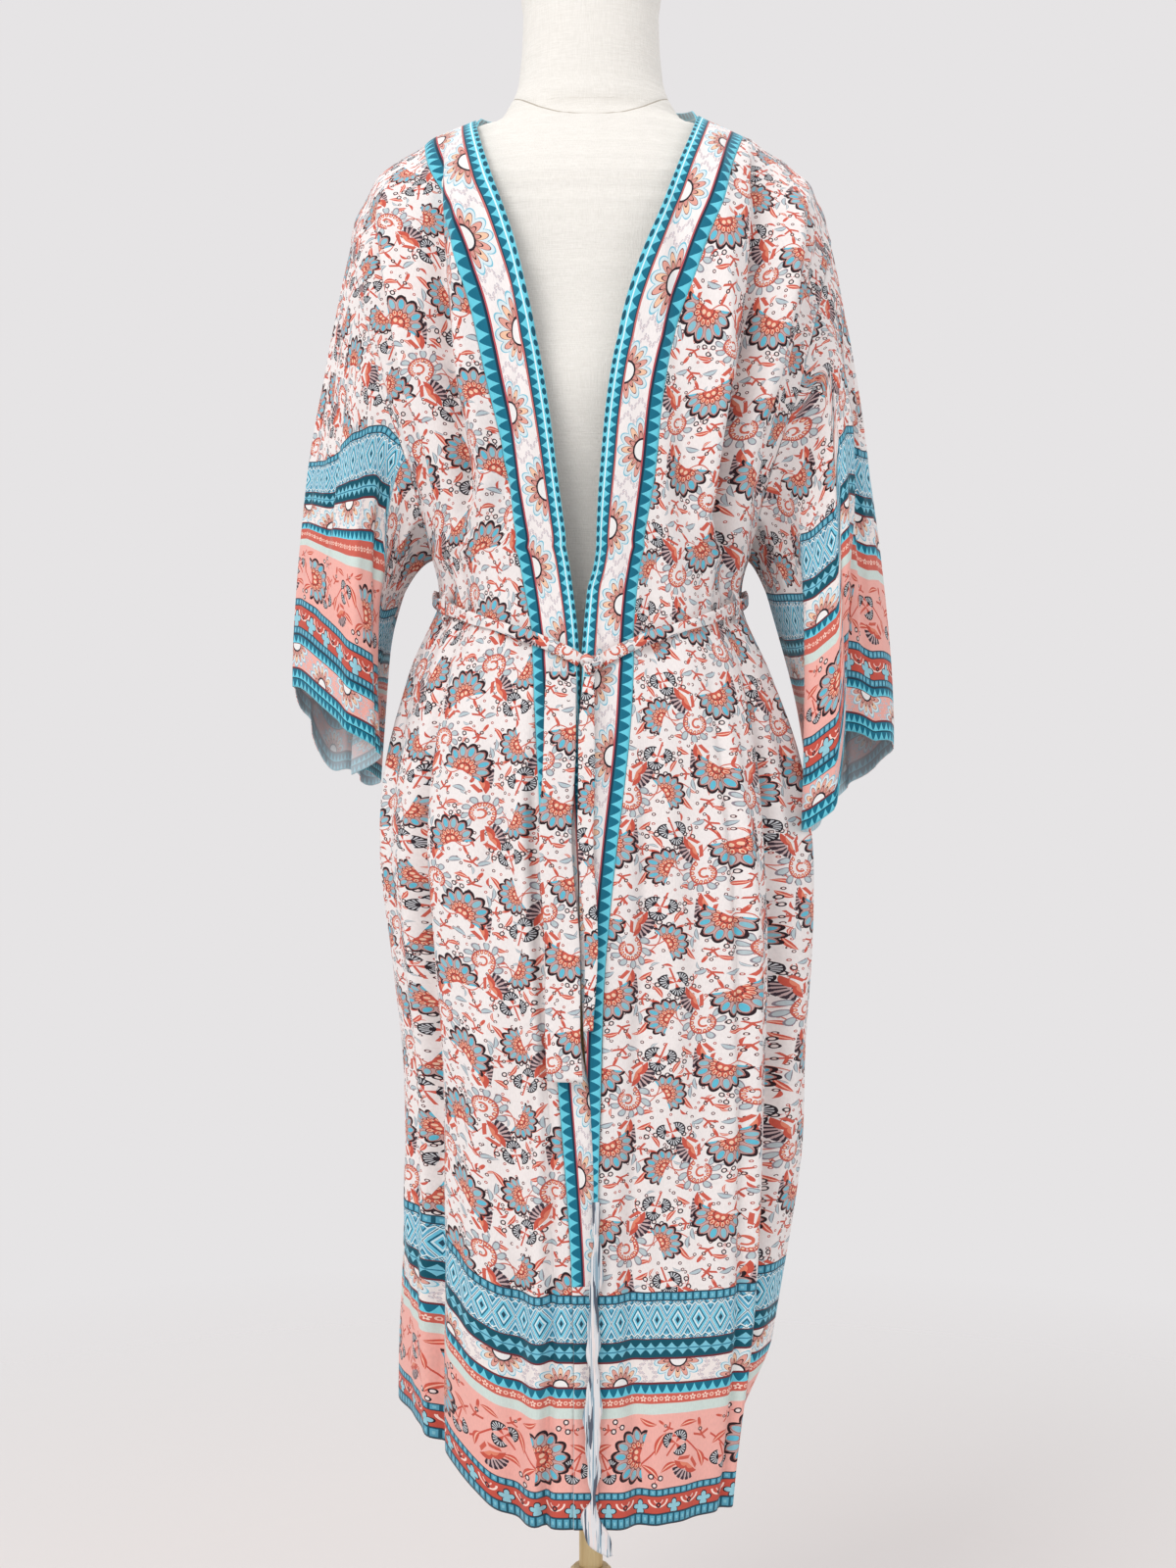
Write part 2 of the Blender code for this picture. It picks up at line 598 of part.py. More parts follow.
def armhole_edge(side):
    """The armhole's edge, from the underarm up the front panel, over the shoulder and down the back panel.

    Gives the places round it, the edge, and points a little way inside it on the panels. Between two rows
    of the panels the edge is straight, so one more point is put in the middle.
    """
    levels = [trimmed(level) for level in body_levels() if level >= level_of(UNDERARM_Z) - 1e-9]
    edge, inside = [], []
    for share, points in ((1.0 - SIDE_TRIM, edge), (0.97, inside)):
        front = [surface_point(side, "front", level, share) for level in levels]
        back = [surface_point(side, "back", level, share) for level in levels]
        points += front + back[::-1]
    top = len(levels)

    def with_middles(points):
        points = np.array(points)
        halves = []
        for half in (points[:top], points[top:]):
            full = np.empty((2 * top - 1, 3))
            full[::2] = half
            full[1::2] = (half[1:] + half[:-1]) / 2
            halves.append(full)
        # The two panels' corners at the shoulder seam count as one point.
        corner = (halves[0][-1:] + halves[1][:1]) / 2
        return np.concatenate([halves[0][:-1], corner, halves[1][1:]])

    edge, inside = with_middles(edge), with_middles(inside)
    length = np.concatenate([[0], np.cumsum(np.linalg.norm(np.diff(edge, axis=0), axis=1))])
    middle = 2 * top - 2
    place = np.where(
        np.arange(len(edge)) <= middle,
        0.5 * length / length[middle],
        0.5 + 0.5 * (length - length[middle]) / (length[-1] - length[middle]),
    )
    return place, edge, inside


def sleeve_grid(side, along):
    """A hanging sleeve, in rows from the armhole to the cuff, each once round from the underarm seam."""
    sign = SIDE_SIGN[side]
    table = CUFF_LEFT if side == "left" else CUFF_RIGHT
    at, start, inside = armhole_edge(side)
    away = start - inside
    away = away / np.linalg.norm(away, axis=1, keepdims=True)
    cuff = smooth_ring(table, CUFF_COLUMNS, at % 1.0)
    end = np.stack([sign * cuff[:, 0], -cuff[:, 1], cuff[:, 2]], axis=1)
    fall = np.tile([0.0, 0.0, -1.0], (len(at), 1))
    reach = np.linalg.norm(end - start, axis=1, keepdims=True)
    top = np.sin(math.pi * at)[:, None]
    under = np.abs(2 * at - 1)[:, None]
    # Under the arm the cloth first runs outward, clear of the hip.
    outward_first = away * (1 - under**6) + np.array([sign * 0.95, 0.0, -0.3]) * under**6
    bulge = np.stack([0 * at, -np.sin(2 * math.pi * at), 0 * at], axis=1)
    rows = []
    for t in along:
        rise = 3 * t**2 - 2 * t**3
        row = (
            start * (1 - rise)
            + end * rise
            + (t**3 - 2 * t**2 + t) * outward_first * (SLEEVE_START * (0.6 + 0.8 * top) + 0.3 * reach)
            + (t**3 - t**2) * fall * reach * 0.9
            + SLEEVE_SWELL * math.sin(math.pi * t) * bulge
        )
        rows.append(row + outward_first * SEAM * (1 - t))
    return np.array(rows)


def sleeve(side):
    """One sleeve as a wall. Its two edges meet, but for the seam's gap, under the arm."""
    along = np.linspace(0.0, 1.0, SLEEVE_RINGS + 1) ** 1.1
    grid = sleeve_grid(side, along)
    normals = grid_normals(grid)
    # Both edges of the underarm seam share one normal and stand a seam's gap apart.
    outside = grid - grid.mean(axis=1, keepdims=True)
    if (normals * outside).sum() < 0:
        normals = -normals
    toward = grid[:, 1] - grid[:, 0]
    toward /= np.linalg.norm(toward, axis=1, keepdims=True)
    backward = grid[:, -2] - grid[:, -1]
    backward /= np.linalg.norm(backward, axis=1, keepdims=True)
    shared = normals[:, 0] + normals[:, -1] - toward - backward
    shared /= np.linalg.norm(shared, axis=1, keepdims=True)
    normals[:, 0] = normals[:, -1] = shared
    grid[:, 0] += toward * SEAM
    grid[:, -1] += backward * SEAM
    return cloth_wall("sleeve_" + side, grid, normals, WALL, "border")


def belt_path(side, face, shares, off):
    """Points along the belt on one face of the waist, outside the cloth."""
    points = []
    for share in shares:
        z = float(belt_height(face, share))
        near = surface_row(side, face, level_of(z), [max(share - 0.02, 0.0), share, min(share + 0.02, 1.0)])
        out = np.array([near[2][1] - near[0][1], near[0][0] - near[2][0], 0.0])
        out /= np.linalg.norm(out)
        if out[:2] @ near[1][:2] < 0:
            out = -out
        points.append(near[1] + out * off)
    return np.array(points)


def strip_solid(name, path, up, out, height, thick, colour):
    """A flat strip along a path, with a rectangular section that has softened edges."""
    shape = [(-0.5, -0.3), (-0.5, 0.3), (-0.36, 0.5), (0.36, 0.5), (0.5, 0.3), (0.5, -0.3), (0.36, -0.5), (-0.36, -0.5)]
    height = np.broadcast_to(height, len(path))
    rings = []
    for point, u, o, h in zip(path, up, out, height):
        rings.append([point + u * a * h + o * b * thick for a, b in shape])
    return turned_solid(name, rings, colour)


def belt_line(side):
    """Half of the belt's middle line, with the directions up and out at each point."""
    front = belt_path(side, "front", np.linspace(BELT_START, 1.0, 22), 0.0)
    back = belt_path(side, "back", np.linspace(1.0, 0.0, 18)[1:], 0.0)
    path = np.concatenate([front, back])
    # A belt under tension bridges the furrows, so its path is smoothed and kept clear of the cloth.
    flat = path[:, :2].copy()
    radius = np.linalg.norm(flat, axis=1)
    for _ in range(3):
        wide = np.convolve(np.pad(radius, 2, mode="edge"), np.ones(5) / 5, mode="valid")
        radius = np.maximum(radius, wide)
    path[:, :2] = flat / np.linalg.norm(flat, axis=1)[:, None] * radius[:, None]
    path[-1, 0] = SIDE_SIGN[side] * SEAM
    along = np.gradient(path, axis=0)
    along /= np.linalg.norm(along, axis=1)[:, None]
    out = np.cross(along, [0.0, 0.0, 1.0])
    out /= np.linalg.norm(out, axis=1)[:, None]
    out[(out * path).sum(axis=1) < 0] *= -1
    up = np.cross(out, along)
    up[up[:, 2] < 0] *= -1
    return path + out * (BELT_OFF + BELT_THICK / 2), up, out


def belt(side):
    """Half of the belt, from beside the knot round the side to the middle of the back."""
    path, up, out = belt_line(side)
    return strip_solid("belt_" + side, path, up, out, BELT_HEIGHT, BELT_THICK, "print")


def belt_loop(side):
    """A narrow loop beside the side seam, standing out over the belt."""
    path, ups, outs = belt_line(side)
    i = int(np.argmin(np.abs(np.abs(path[:22, 0]) - LOOP_SIDE)))
    point, out = path[i], outs[i]
    along = np.cross([0.0, 0.0, 1.0], out)
    over = BELT_THICK / 2 + LOOP_THICK / 2 + REST_GAP
    profile = (
        (-LOOP_HALF * 0.9, BELT_THICK / 2), (-0.0100, over * 0.95), (-0.0060, over + 0.0002), (0.0, over + 0.0003),
        (0.0060, over + 0.0002), (0.0100, over * 0.85), (LOOP_HALF, -BELT_THICK / 2),
    )
    line = np.array([point + out * a + np.array([0.0, 0.0, z]) for z, a in profile])
    count = len(line)
    direction = np.gradient(line, axis=0)
    face = np.cross(direction, along)
    face /= np.linalg.norm(face, axis=1)[:, None]
    return strip_solid(
        "belt_loop_" + side, line, np.tile(along, (count, 1)), face, LOOP_WIDTH, LOOP_THICK, "print"
    )


def tie_end(side):
    """A free end of the belt, hanging from the knot."""
    table = TIE_LEFT if side == "left" else TIE_RIGHT
    heights = np.linspace(table[0][0], table[-1][0], 12)
    order = table[::-1]
    x, width, ahead = (read(order, TIE_COLUMNS, name, heights) for name in ("x", "width", "ahead"))
    path = np.stack([x, -ahead, heights], axis=1)
    out = np.tile([0.0, -1.0, 0.0], (len(path), 1))
    across = np.tile([1.0, 0.0, 0.0], (len(path), 1))
    return strip_solid("tie_end_" + side, path, across, out, width, BELT_THICK, "print")


def knot():
    """The knot in front, a rounded lump between the belt's halves and the hanging ends."""
    bm = bmesh.new()
    bmesh.ops.create_icosphere(bm, subdivisions=2, radius=1.0)
    for vertex in bm.verts:
        x, y, z = vertex.co
        swell = 1 + 0.10 * math.sin(4 * math.atan2(z, x))
        size = (KNOT_SIZE[0] * swell, KNOT_SIZE[1], KNOT_SIZE[2] * swell)
        vertex.co = [c + a * b for c, a, b in zip(KNOT_CENTRE, (x, y, z), size)]
    mesh = bpy.data.meshes.new("belt_knot")
    bm.to_mesh(mesh)
    bm.free()
    return link("belt_knot", mesh, "print")


def coat_inside(z, angles):
    """How far the coat's form lies from the axis at a height above the chest, at angles round it from the front."""
    reach = np.zeros(len(angles))
    for side in ("right", "left"):
        for face in ("front", "back"):
            shares = np.linspace(0.0, 1.0, 300)
            known, x0, y0 = section(side, face, CHEST_Z)
            x0 = np.interp(shares, known, x0)
            y0 = np.interp(shares, known, y0)
            top_x = SIDE_SIGN[side] * read(SHOULDER, SHOULDER_COLUMNS, "x", shares)
            top_z = read(SHOULDER, SHOULDER_COLUMNS, face + "_z", shares)
            rise = np.clip((z - CHEST_Z) / (top_z - CHEST_Z), 0.0, 1.0)
            x = x0 + (top_x - x0) * rise
            y = y0 * np.sqrt(1 - rise**2)
            turn = np.arctan2(np.abs(x), np.abs(y))
            under = top_z > z
            x, y = x[under], y[under]
            turn = turn[under]
            own = (np.sign(np.sin(angles)) * SIDE_SIGN[side] >= 0) & (np.sign(-np.cos(angles)) * FACE_SIGN[face] >= 0)
            wanted = np.arctan2(np.abs(np.sin(angles[own])), np.abs(np.cos(angles[own])))
            reach[own] = np.interp(wanted, turn, np.hypot(x, y))
    return reach


def form_rings():
    """Sections of the dress form from its underside to the top of its neck."""
    # The points lie closer together at the sides, where the shoulders end.
    spaced = np.linspace(0, 2 * math.pi, FORM_STEPS, endpoint=False)
    angles = spaced + 0.16 * np.sin(2 * spaced)
    heights = [row[0] for row in FORM if row[0] < 1.3]
    heights += list(np.linspace(1.300, 1.410, 10))
    rings = []
    for z in heights:
        side, front, back = (float(read(FORM, FORM_COLUMNS, name, z)) for name in FORM_COLUMNS[1:])
        rings.append(form_ring(z, side, front, back, angles))
    for row in NECK:
        rings.append(form_ring(*row, angles))
    return rings


def form_ring(z, side, front, back, angles):
    """One level ring of the dress form, kept inside the coat's shoulders."""
    deep = np.where(np.cos(angles) > 0, front, back)
    reach = 1 / (np.abs(np.sin(angles) / side) ** 2.1 + np.abs(np.cos(angles) / deep) ** 2.1) ** (1 / 2.1)
    if CHEST_Z + 0.01 < z < NECK[0][0]:
        reach = np.minimum(reach, coat_inside(z + FORM_RISE, angles) - FORM_SLACK)
    return np.stack([reach * np.sin(angles), -reach * np.cos(angles), np.full(len(angles), z)], axis=1)


def disc_rings(radius, low, high, bevel, around):
    """Rings of an upright disc with a bevelled top edge."""
    turn = np.linspace(0, 2 * math.pi, around, endpoint=False)
    rings = []
    for r, z in ((radius, low), (radius, high - bevel), (radius - bevel, high)):
        rings.append(np.stack([r * np.cos(turn), r * np.sin(turn), np.full(around, z)], axis=1))
    return rings


def leg(index):
    """One of the four legs: its side outline, given a width and softened edges."""
    turn = index * math.pi / 2
    along = np.array([math.cos(turn), math.sin(turn)])
    across = np.array([-along[1], along[0]])
    rings = []
    for reach, under, top in LEG:
        half = LEG_WIDTH / 2
        shape = ((-half, under), (half, under), (half, top - EDGE), (half - EDGE, top), (EDGE - half, top), (-half, top - EDGE))
        rings.append([(*(along * reach + across * a), z) for a, z in shape])
    turned_solid("stand_leg_%d" % (index + 1), rings, "pole")


def stand():
    """The dress form's stand: four legs round a hub, and a pole up to the form."""
    for index in range(4):
        leg(index)
    turned_solid("stand_hub", disc_rings(HUB_RADIUS, HUB_LOW, HUB_TOP, EDGE, 24), "pole")
    low = HUB_TOP + REST_GAP
    top = FORM[0][0] - REST_GAP
    turned_solid("stand_pole", disc_rings(POLE_RADIUS, low, top, EDGE / 2, 24), "pole")


def main():
    for obj in list(bpy.data.objects):
        bpy.data.objects.remove(obj, do_unlink=True)
    cloth_wall("back_panel", *back_panel(), WALL, "print")
    for side in ("right", "left"):
        cloth_wall("front_panel_" + side, *front_panel(side), WALL, "print")
        cloth_wall("front_band_" + side, *front_band(side), BAND_WALL, "band")
        sleeve(side)
        belt(side)
        belt_loop(side)
        tie_end(side)
    cloth_wall("neck_band", *neck_band(), BAND_WALL, "band")
    knot()
    turned_solid("dress_form", form_rings(), "linen")
    stand()


main()
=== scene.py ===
"""The kimono coat's look: fine cloth, its print, the linen form, the wooden stand, light and camera."""
import functools
import math

import bmesh
import bpy
import numpy as np
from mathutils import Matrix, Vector

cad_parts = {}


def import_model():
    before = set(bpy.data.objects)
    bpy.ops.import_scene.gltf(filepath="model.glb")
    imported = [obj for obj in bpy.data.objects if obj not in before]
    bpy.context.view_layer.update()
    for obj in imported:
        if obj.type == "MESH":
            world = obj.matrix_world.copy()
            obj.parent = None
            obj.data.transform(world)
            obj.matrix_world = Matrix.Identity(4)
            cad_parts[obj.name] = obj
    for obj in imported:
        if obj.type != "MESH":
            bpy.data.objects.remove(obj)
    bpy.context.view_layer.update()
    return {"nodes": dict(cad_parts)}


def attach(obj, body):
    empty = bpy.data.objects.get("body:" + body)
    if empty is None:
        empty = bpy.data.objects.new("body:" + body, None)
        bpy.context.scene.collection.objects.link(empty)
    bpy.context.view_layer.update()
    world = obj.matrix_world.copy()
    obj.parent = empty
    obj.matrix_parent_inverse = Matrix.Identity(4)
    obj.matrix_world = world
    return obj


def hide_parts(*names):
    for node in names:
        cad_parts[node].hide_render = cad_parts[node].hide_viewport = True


# Main heights
HEM_Z = 0.272
UNDERARM_Z = 1.040
CHEST_Z = 1.200          # above this height the panels curve in to the shoulder seam
KNOT_Z = 0.942
KNOT_SHARE = 0.018       # the belt starts to rise at this share of the way from the middle to the side
SIDE_BELT_Z = 1.010

# Cloth and seams
SEAM = 0.0005            # space between two pieces at a seam
ARMHOLE_DEPTH = 0.062    # half of the armhole's front to back size
ARMHOLE_ROUND = 0.110    # height over which the armhole opens from the underarm

# The coat's outline at each height: how far it reaches to each side, to the front and to the back,
# and the share by which its front is narrower than its sides.
BODY_COLUMNS = ("z", "right", "left", "front", "back", "narrow_right", "narrow_left")
BODY = (
    (0.272, 0.174, 0.142, 0.157, 0.121, 0.50, 0.20),
    (0.300, 0.171, 0.145, 0.155, 0.122, 0.40, 0.16),
    (0.366, 0.164, 0.151, 0.150, 0.126, 0.22, 0.08),
    (0.424, 0.160, 0.158, 0.146, 0.129, 0.10, 0.02),
    (0.508, 0.157, 0.168, 0.142, 0.133, 0.00, 0.00),
    (0.624, 0.158, 0.178, 0.140, 0.138, 0.00, 0.00),
    (0.716, 0.169, 0.184, 0.140, 0.141, 0.00, 0.00),
    (0.808, 0.178, 0.179, 0.140, 0.142, 0.00, 0.00),
    (0.874, 0.171, 0.169, 0.136, 0.136, 0.00, 0.00),
    (0.940, 0.153, 0.151, 0.129, 0.118, 0.00, 0.00),
    (1.010, 0.129, 0.128, 0.121, 0.098, 0.00, 0.00),
    (1.060, 0.141, 0.140, 0.130, 0.102, 0.00, 0.00),
    (1.120, 0.163, 0.162, 0.139, 0.109, 0.00, 0.00),
    (1.170, 0.182, 0.181, 0.142, 0.115, 0.00, 0.00),
    (1.200, 0.190, 0.189, 0.141, 0.118, 0.00, 0.00),
)

# The line over the shoulder, from the middle of the neck to the top of the armhole.
# Inside the neck it only carries the surface on; nothing is cut there.
SHOULDER_COLUMNS = ("share", "x", "front_z", "back_z")
SHOULDER = (
    (0.00, 0.000, 1.440, 1.478),
    (0.22, 0.050, 1.432, 1.462),
    (0.40, 0.095, 1.411, 1.411),
    (0.58, 0.136, 1.392, 1.392),
    (0.72, 0.168, 1.372, 1.372),
    (0.83, 0.188, 1.350, 1.350),
    (0.92, 0.198, 1.330, 1.330),
    (1.00, 0.203, 1.308, 1.308),
)

# The front band's edges: how far its opening edge and its seam lie from the middle.
BAND_COLUMNS = ("z", "right_edge", "right_seam", "left_edge", "left_seam")
BAND = (
    (0.272, 0.0040, 0.0135, 0.0020, 0.0105),
    (0.430, 0.0045, 0.0140, 0.0020, 0.0105),
    (0.480, 0.0060, 0.0160, 0.0020, 0.0105),
    (0.545, 0.0070, 0.0205, 0.0020, 0.0110),
    (0.615, 0.0075, 0.0260, 0.0020, 0.0125),
    (0.700, 0.0080, 0.0330, 0.0020, 0.0165),
    (0.800, 0.0085, 0.0390, 0.0020, 0.0225),
    (0.900, 0.0090, 0.0440, 0.0020, 0.0315),
    (0.942, 0.0090, 0.0455, 0.0022, 0.0335),
    (0.980, 0.0114, 0.0488, 0.0025, 0.0340),
    (1.012, 0.0157, 0.0544, 0.0030, 0.0375),
    (1.090, 0.0264, 0.0670, 0.0065, 0.0498),
    (1.167, 0.0369, 0.0830, 0.0142, 0.0585),
    (1.249, 0.0530, 0.1002, 0.0325, 0.0810),
    (1.329, 0.0775, 0.1260, 0.0650, 0.1075),
    (1.380, 0.0915, 0.1380, 0.0810, 0.1240),
    (1.412, 0.0980, 0.1400, 0.0905, 0.1320),
)
# Where the back neck edge crosses the middle, as a share of the way up the shoulder
NECK_RISE = 0.60
NECK_SEAM_RISE = 0.38    # and the same for the neck band's seam

# Large folds of the hanging cloth. Each runs down from one height to another. place is the share of the
# way from the middle to the side, a negative depth is a furrow, and lean leads the fold's foot sideways.
# Columns: place, lean, width, depth, top_z, foot_z
FOLDS = {
    ("right", "front"): (
        (0.60, -0.02, 0.050, -0.013, 1.000, 0.300),
        (0.42, -0.04, 0.090, 0.008, 0.900, 0.272),
        (0.80, -0.06, 0.070, 0.008, 0.980, 0.400),
        (0.24, 0.02, 0.045, -0.007, 0.520, 0.272),
        (0.62, -0.05, 0.060, -0.012, 1.290, 1.030),
        (0.74, 0.02, 0.050, 0.009, 1.330, 1.020),
        (0.87, 0.00, 0.050, -0.010, 1.320, 1.030),
        (0.50, -0.05, 0.050, 0.007, 1.260, 1.010),
    ),
    ("left", "front"): (
        (0.62, 0.02, 0.045, -0.013, 1.000, 0.300),
        (0.44, 0.06, 0.090, 0.010, 0.960, 0.272),
        (0.20, 0.03, 0.070, -0.010, 0.620, 0.300),
        (0.82, 0.00, 0.070, 0.008, 0.980, 0.400),
        (0.66, -0.03, 0.055, -0.015, 1.290, 1.000),
        (0.54, -0.04, 0.055, 0.008, 1.270, 1.010),
        (0.80, 0.00, 0.050, 0.010, 1.330, 1.010),
        (0.92, 0.00, 0.040, -0.008, 1.320, 1.040),
    ),
    ("right", "back"): (
        (0.20, 0.03, 0.075, -0.017, 0.980, 0.272),
        (0.40, 0.03, 0.085, 0.012, 0.960, 0.272),
        (0.60, 0.00, 0.070, -0.015, 0.960, 0.272),
        (0.82, -0.02, 0.070, 0.008, 0.940, 0.272),
        (0.60, -0.10, 0.070, -0.009, 1.280, 1.020),
        (0.84, -0.06, 0.060, 0.007, 1.320, 1.030),
    ),
    ("left", "back"): (
        (0.06, 0.02, 0.085, 0.013, 0.970, 0.272),
        (0.32, 0.04, 0.075, -0.018, 0.980, 0.272),
        (0.58, 0.00, 0.085, 0.013, 0.940, 0.272),
        (0.80, 0.00, 0.065, -0.012, 0.900, 0.272),
        (0.52, -0.08, 0.070, -0.008, 1.290, 1.020),
        (0.80, -0.05, 0.060, 0.007, 1.310, 1.030),
    ),
}
GATHERS = 2.5            # small pleats that the belt draws in, over each quarter of the waist
GATHER_DEPTH = 0.0030
CINCH_DEPTH = 0.0030     # how far the belt draws the cloth in
GATHER_REACH = 0.055     # how far above and below the belt the pleats reach
CINCH_REACH = 0.030
ROUNDNESS = 0.84         # the outline's power: 1 is an ellipse, and less is squarer

# The sleeve's cuff, corner by corner, from the underarm over the front to the top fold and back.
# share is the place along the cuff, out is away from the body, and ahead is towards the front.
CUFF_COLUMNS = ("share", "out", "ahead", "z")
CUFF_RIGHT = (
    (0.00, 0.192, -0.006, 0.862),
    (0.07, 0.202, 0.010, 0.858),
    (0.13, 0.183, 0.030, 0.866),
    (0.20, 0.172, 0.062, 0.876),
    (0.27, 0.192, 0.070, 0.890),
    (0.37, 0.222, 0.050, 0.914),
    (0.46, 0.247, 0.020, 0.932),
    (0.52, 0.252, -0.010, 0.926),
    (0.60, 0.249, -0.040, 0.896),
    (0.67, 0.234, -0.062, 0.868),
    (0.74, 0.216, -0.050, 0.856),
    (0.81, 0.204, -0.072, 0.848),
    (0.89, 0.184, -0.062, 0.852),
    (0.95, 0.188, -0.032, 0.858),
)
CUFF_LEFT = (
    (0.00, 0.198, -0.008, 0.822),
    (0.06, 0.194, 0.014, 0.816),
    (0.12, 0.182, 0.050, 0.811),
    (0.18, 0.176, 0.080, 0.813),
    (0.26, 0.206, 0.080, 0.838),
    (0.32, 0.210, 0.056, 0.856),
    (0.38, 0.206, 0.034, 0.868),
    (0.45, 0.230, 0.026, 0.884),
    (0.52, 0.255, 0.004, 0.886),
    (0.60, 0.248, -0.034, 0.866),
    (0.68, 0.228, -0.064, 0.848),
    (0.76, 0.212, -0.052, 0.836),
    (0.84, 0.202, -0.074, 0.826),
    (0.92, 0.192, -0.050, 0.822),
)
CUFFS = {"right": CUFF_RIGHT, "left": CUFF_LEFT}
SLEEVE_SWELL = 0.016     # how far the sleeve's front and back stand off a straight fall
SLEEVE_START = 0.075     # how strongly the sleeve first follows the shoulder

# The dress form's outline at each height, up to the chest
FORM_COLUMNS = ("z", "side", "front", "back")
FORM = (
    (0.700, 0.140, 0.088, 0.094),
    (0.706, 0.148, 0.095, 0.101),
    (0.760, 0.164, 0.108, 0.118),
    (0.820, 0.169, 0.112, 0.124),
    (0.880, 0.157, 0.107, 0.113),
    (0.950, 0.129, 0.098, 0.088),
    (1.010, 0.114, 0.092, 0.076),
    (1.070, 0.122, 0.100, 0.080),
    (1.120, 0.135, 0.114, 0.088),
    (1.170, 0.147, 0.124, 0.096),
    (1.220, 0.154, 0.116, 0.102),
    (1.270, 0.166, 0.104, 0.104),
    (1.310, 0.175, 0.100, 0.104),
    (1.345, 0.176, 0.100, 0.104),
    (1.385, 0.160, 0.100, 0.104),
    (1.400, 0.120, 0.080, 0.090),
    (1.410, 0.085, 0.065, 0.075),
)
FORM_SLACK = 0.0055      # the cloth's standoff from the form at the shoulders
FORM_RISE = 0.0070       # the coat is met this much higher than the form
FORM_POWER = 2.1         # the outline's power: 2 is an ellipse, and more is squarer
# Its neck, above the shoulders
NECK = (
    (1.4150, 0.0740, 0.0580, 0.0660),
    (1.4320, 0.0645, 0.0560, 0.0610),
    (1.4600, 0.0595, 0.0550, 0.0575),
    (1.5000, 0.0575, 0.0545, 0.0555),
    (1.5260, 0.0570, 0.0540, 0.0550),
    (1.5300, 0.0540, 0.0510, 0.0520),
)


# Belt and its hanging ends
BELT_HEIGHT = 0.013
BELT_THICK = 0.0026
BELT_OFF = 0.0024        # space between the belt and the cloth under it
BELT_START = 0.036       # the belt's halves begin beside the knot, at this share of the way to the side
KNOT_CENTRE = (0.0, -0.1370, 0.9445)

# How finely each piece is meshed
SECTION_SAMPLES = 120
FRONT_POINTS = 92        # across a front panel
BAND_POINTS = 19
NECK_POINTS = 15
SLEEVE_POINTS = 168      # round a sleeve
SLEEVE_ROWS = 104
STRIP_POINTS = 20        # round the belt
KNOT_POINTS = 18
TURN_POINTS = 13         # across the turned edge
TURN_ROWS = 120
FORM_STEPS = 40
SIDE_TRIM = 0.0012       # the panels' share left free at the side seams and armholes
NECK_TRIM = 0.003        # and at the neck band's seam
BAND_TRIM = 0.004        # and at the front bands' seams

SIDE_SIGN = {"left": 1.0, "right": -1.0}
FACE_SIGN = {"front": -1.0, "back": 1.0}
TO_FRONT = (0.0, -1.0, 0.0)
UPWARD = (0.0, 0.0, 1.0)


def column(table, columns, name):
    """One named column of a table, as an array."""
    return np.array([row[columns.index(name)] for row in table], float)


def curve_through(at, known_at, values):
    """A smooth curve through known values, read at any places (a cubic between each two rows)."""
    at = np.clip(np.asarray(at, float), known_at[0], known_at[-1])
    slope = np.gradient(values, known_at)
    i = np.clip(np.searchsorted(known_at, at, side="right") - 1, 0, len(known_at) - 2)
    span = known_at[i + 1] - known_at[i]
    t = (at - known_at[i]) / span
    rise = 3 * t**2 - 2 * t**3
    return (
        values[i] * (1 - rise)
        + values[i + 1] * rise
        + span * slope[i] * (t**3 - 2 * t**2 + t)
        + span * slope[i + 1] * (t**3 - t**2)
    )


def read(table, columns, name, at):
    """A table's column at any value of its first column."""
    return curve_through(at, column(table, columns, columns[0]), column(table, columns, name))


def ease(low, high, value):
    """0 below low, 1 above high, and smooth between."""
    t = np.clip((value - low) / (high - low), 0.0, 1.0)
    return t * t * (3 - 2 * t)


def lengths(path):
    """How far along a path each of its points is."""
    return np.concatenate([[0], np.cumsum(np.linalg.norm(np.diff(path, axis=0), axis=1))])


def unit(rows):
    """Directions of length 1."""
    return rows / np.linalg.norm(rows, axis=-1, keepdims=True)


def belt_height(face, share):
    """The belt's height over a face of the coat: level behind, and sagging to the knot in front."""
    if face == "back":
        return SIDE_BELT_Z
    past_knot = np.clip((share - KNOT_SHARE) / (1 - KNOT_SHARE), 0, 1)
    return KNOT_Z + (SIDE_BELT_Z - KNOT_Z) * past_knot**0.66


def fold_offset(side, face, share, z):
    """How far the cloth stands out from its plain outline, from the folds, gathers and belt."""
    off = np.zeros_like(share)
    for place, lean, width, depth, top_z, foot_z in FOLDS[side, face]:
        down = np.clip((top_z - z) / (top_z - foot_z), 0, 1)
        reach = ease(0.0, 0.35, down)
        if foot_z > HEM_Z + 0.01:
            reach = reach * ease(0.0, 0.30, 1 - down)
        off += depth * reach * np.exp(-(((share - place - lean * down) / width) ** 2))
    from_belt = z - belt_height(face, share)
    near = np.exp(-((from_belt / GATHER_REACH) ** 2))
    tight = np.exp(-((from_belt / CINCH_REACH) ** 2))
    waves = np.cos(2 * math.pi * GATHERS * share) * ease(0.10, 0.30, share) * ease(1.0, 0.9, share)
    return off + GATHER_DEPTH * near * waves - CINCH_DEPTH * tight


def armhole_opening(z):
    """Half of the armhole's depth at a height: nothing below the underarm, then opening in a round."""
    up = np.clip((z - UNDERARM_Z) / ARMHOLE_ROUND, 0.0, 1.0)
    return ARMHOLE_DEPTH * np.sqrt(1 - (1 - up) ** 2)


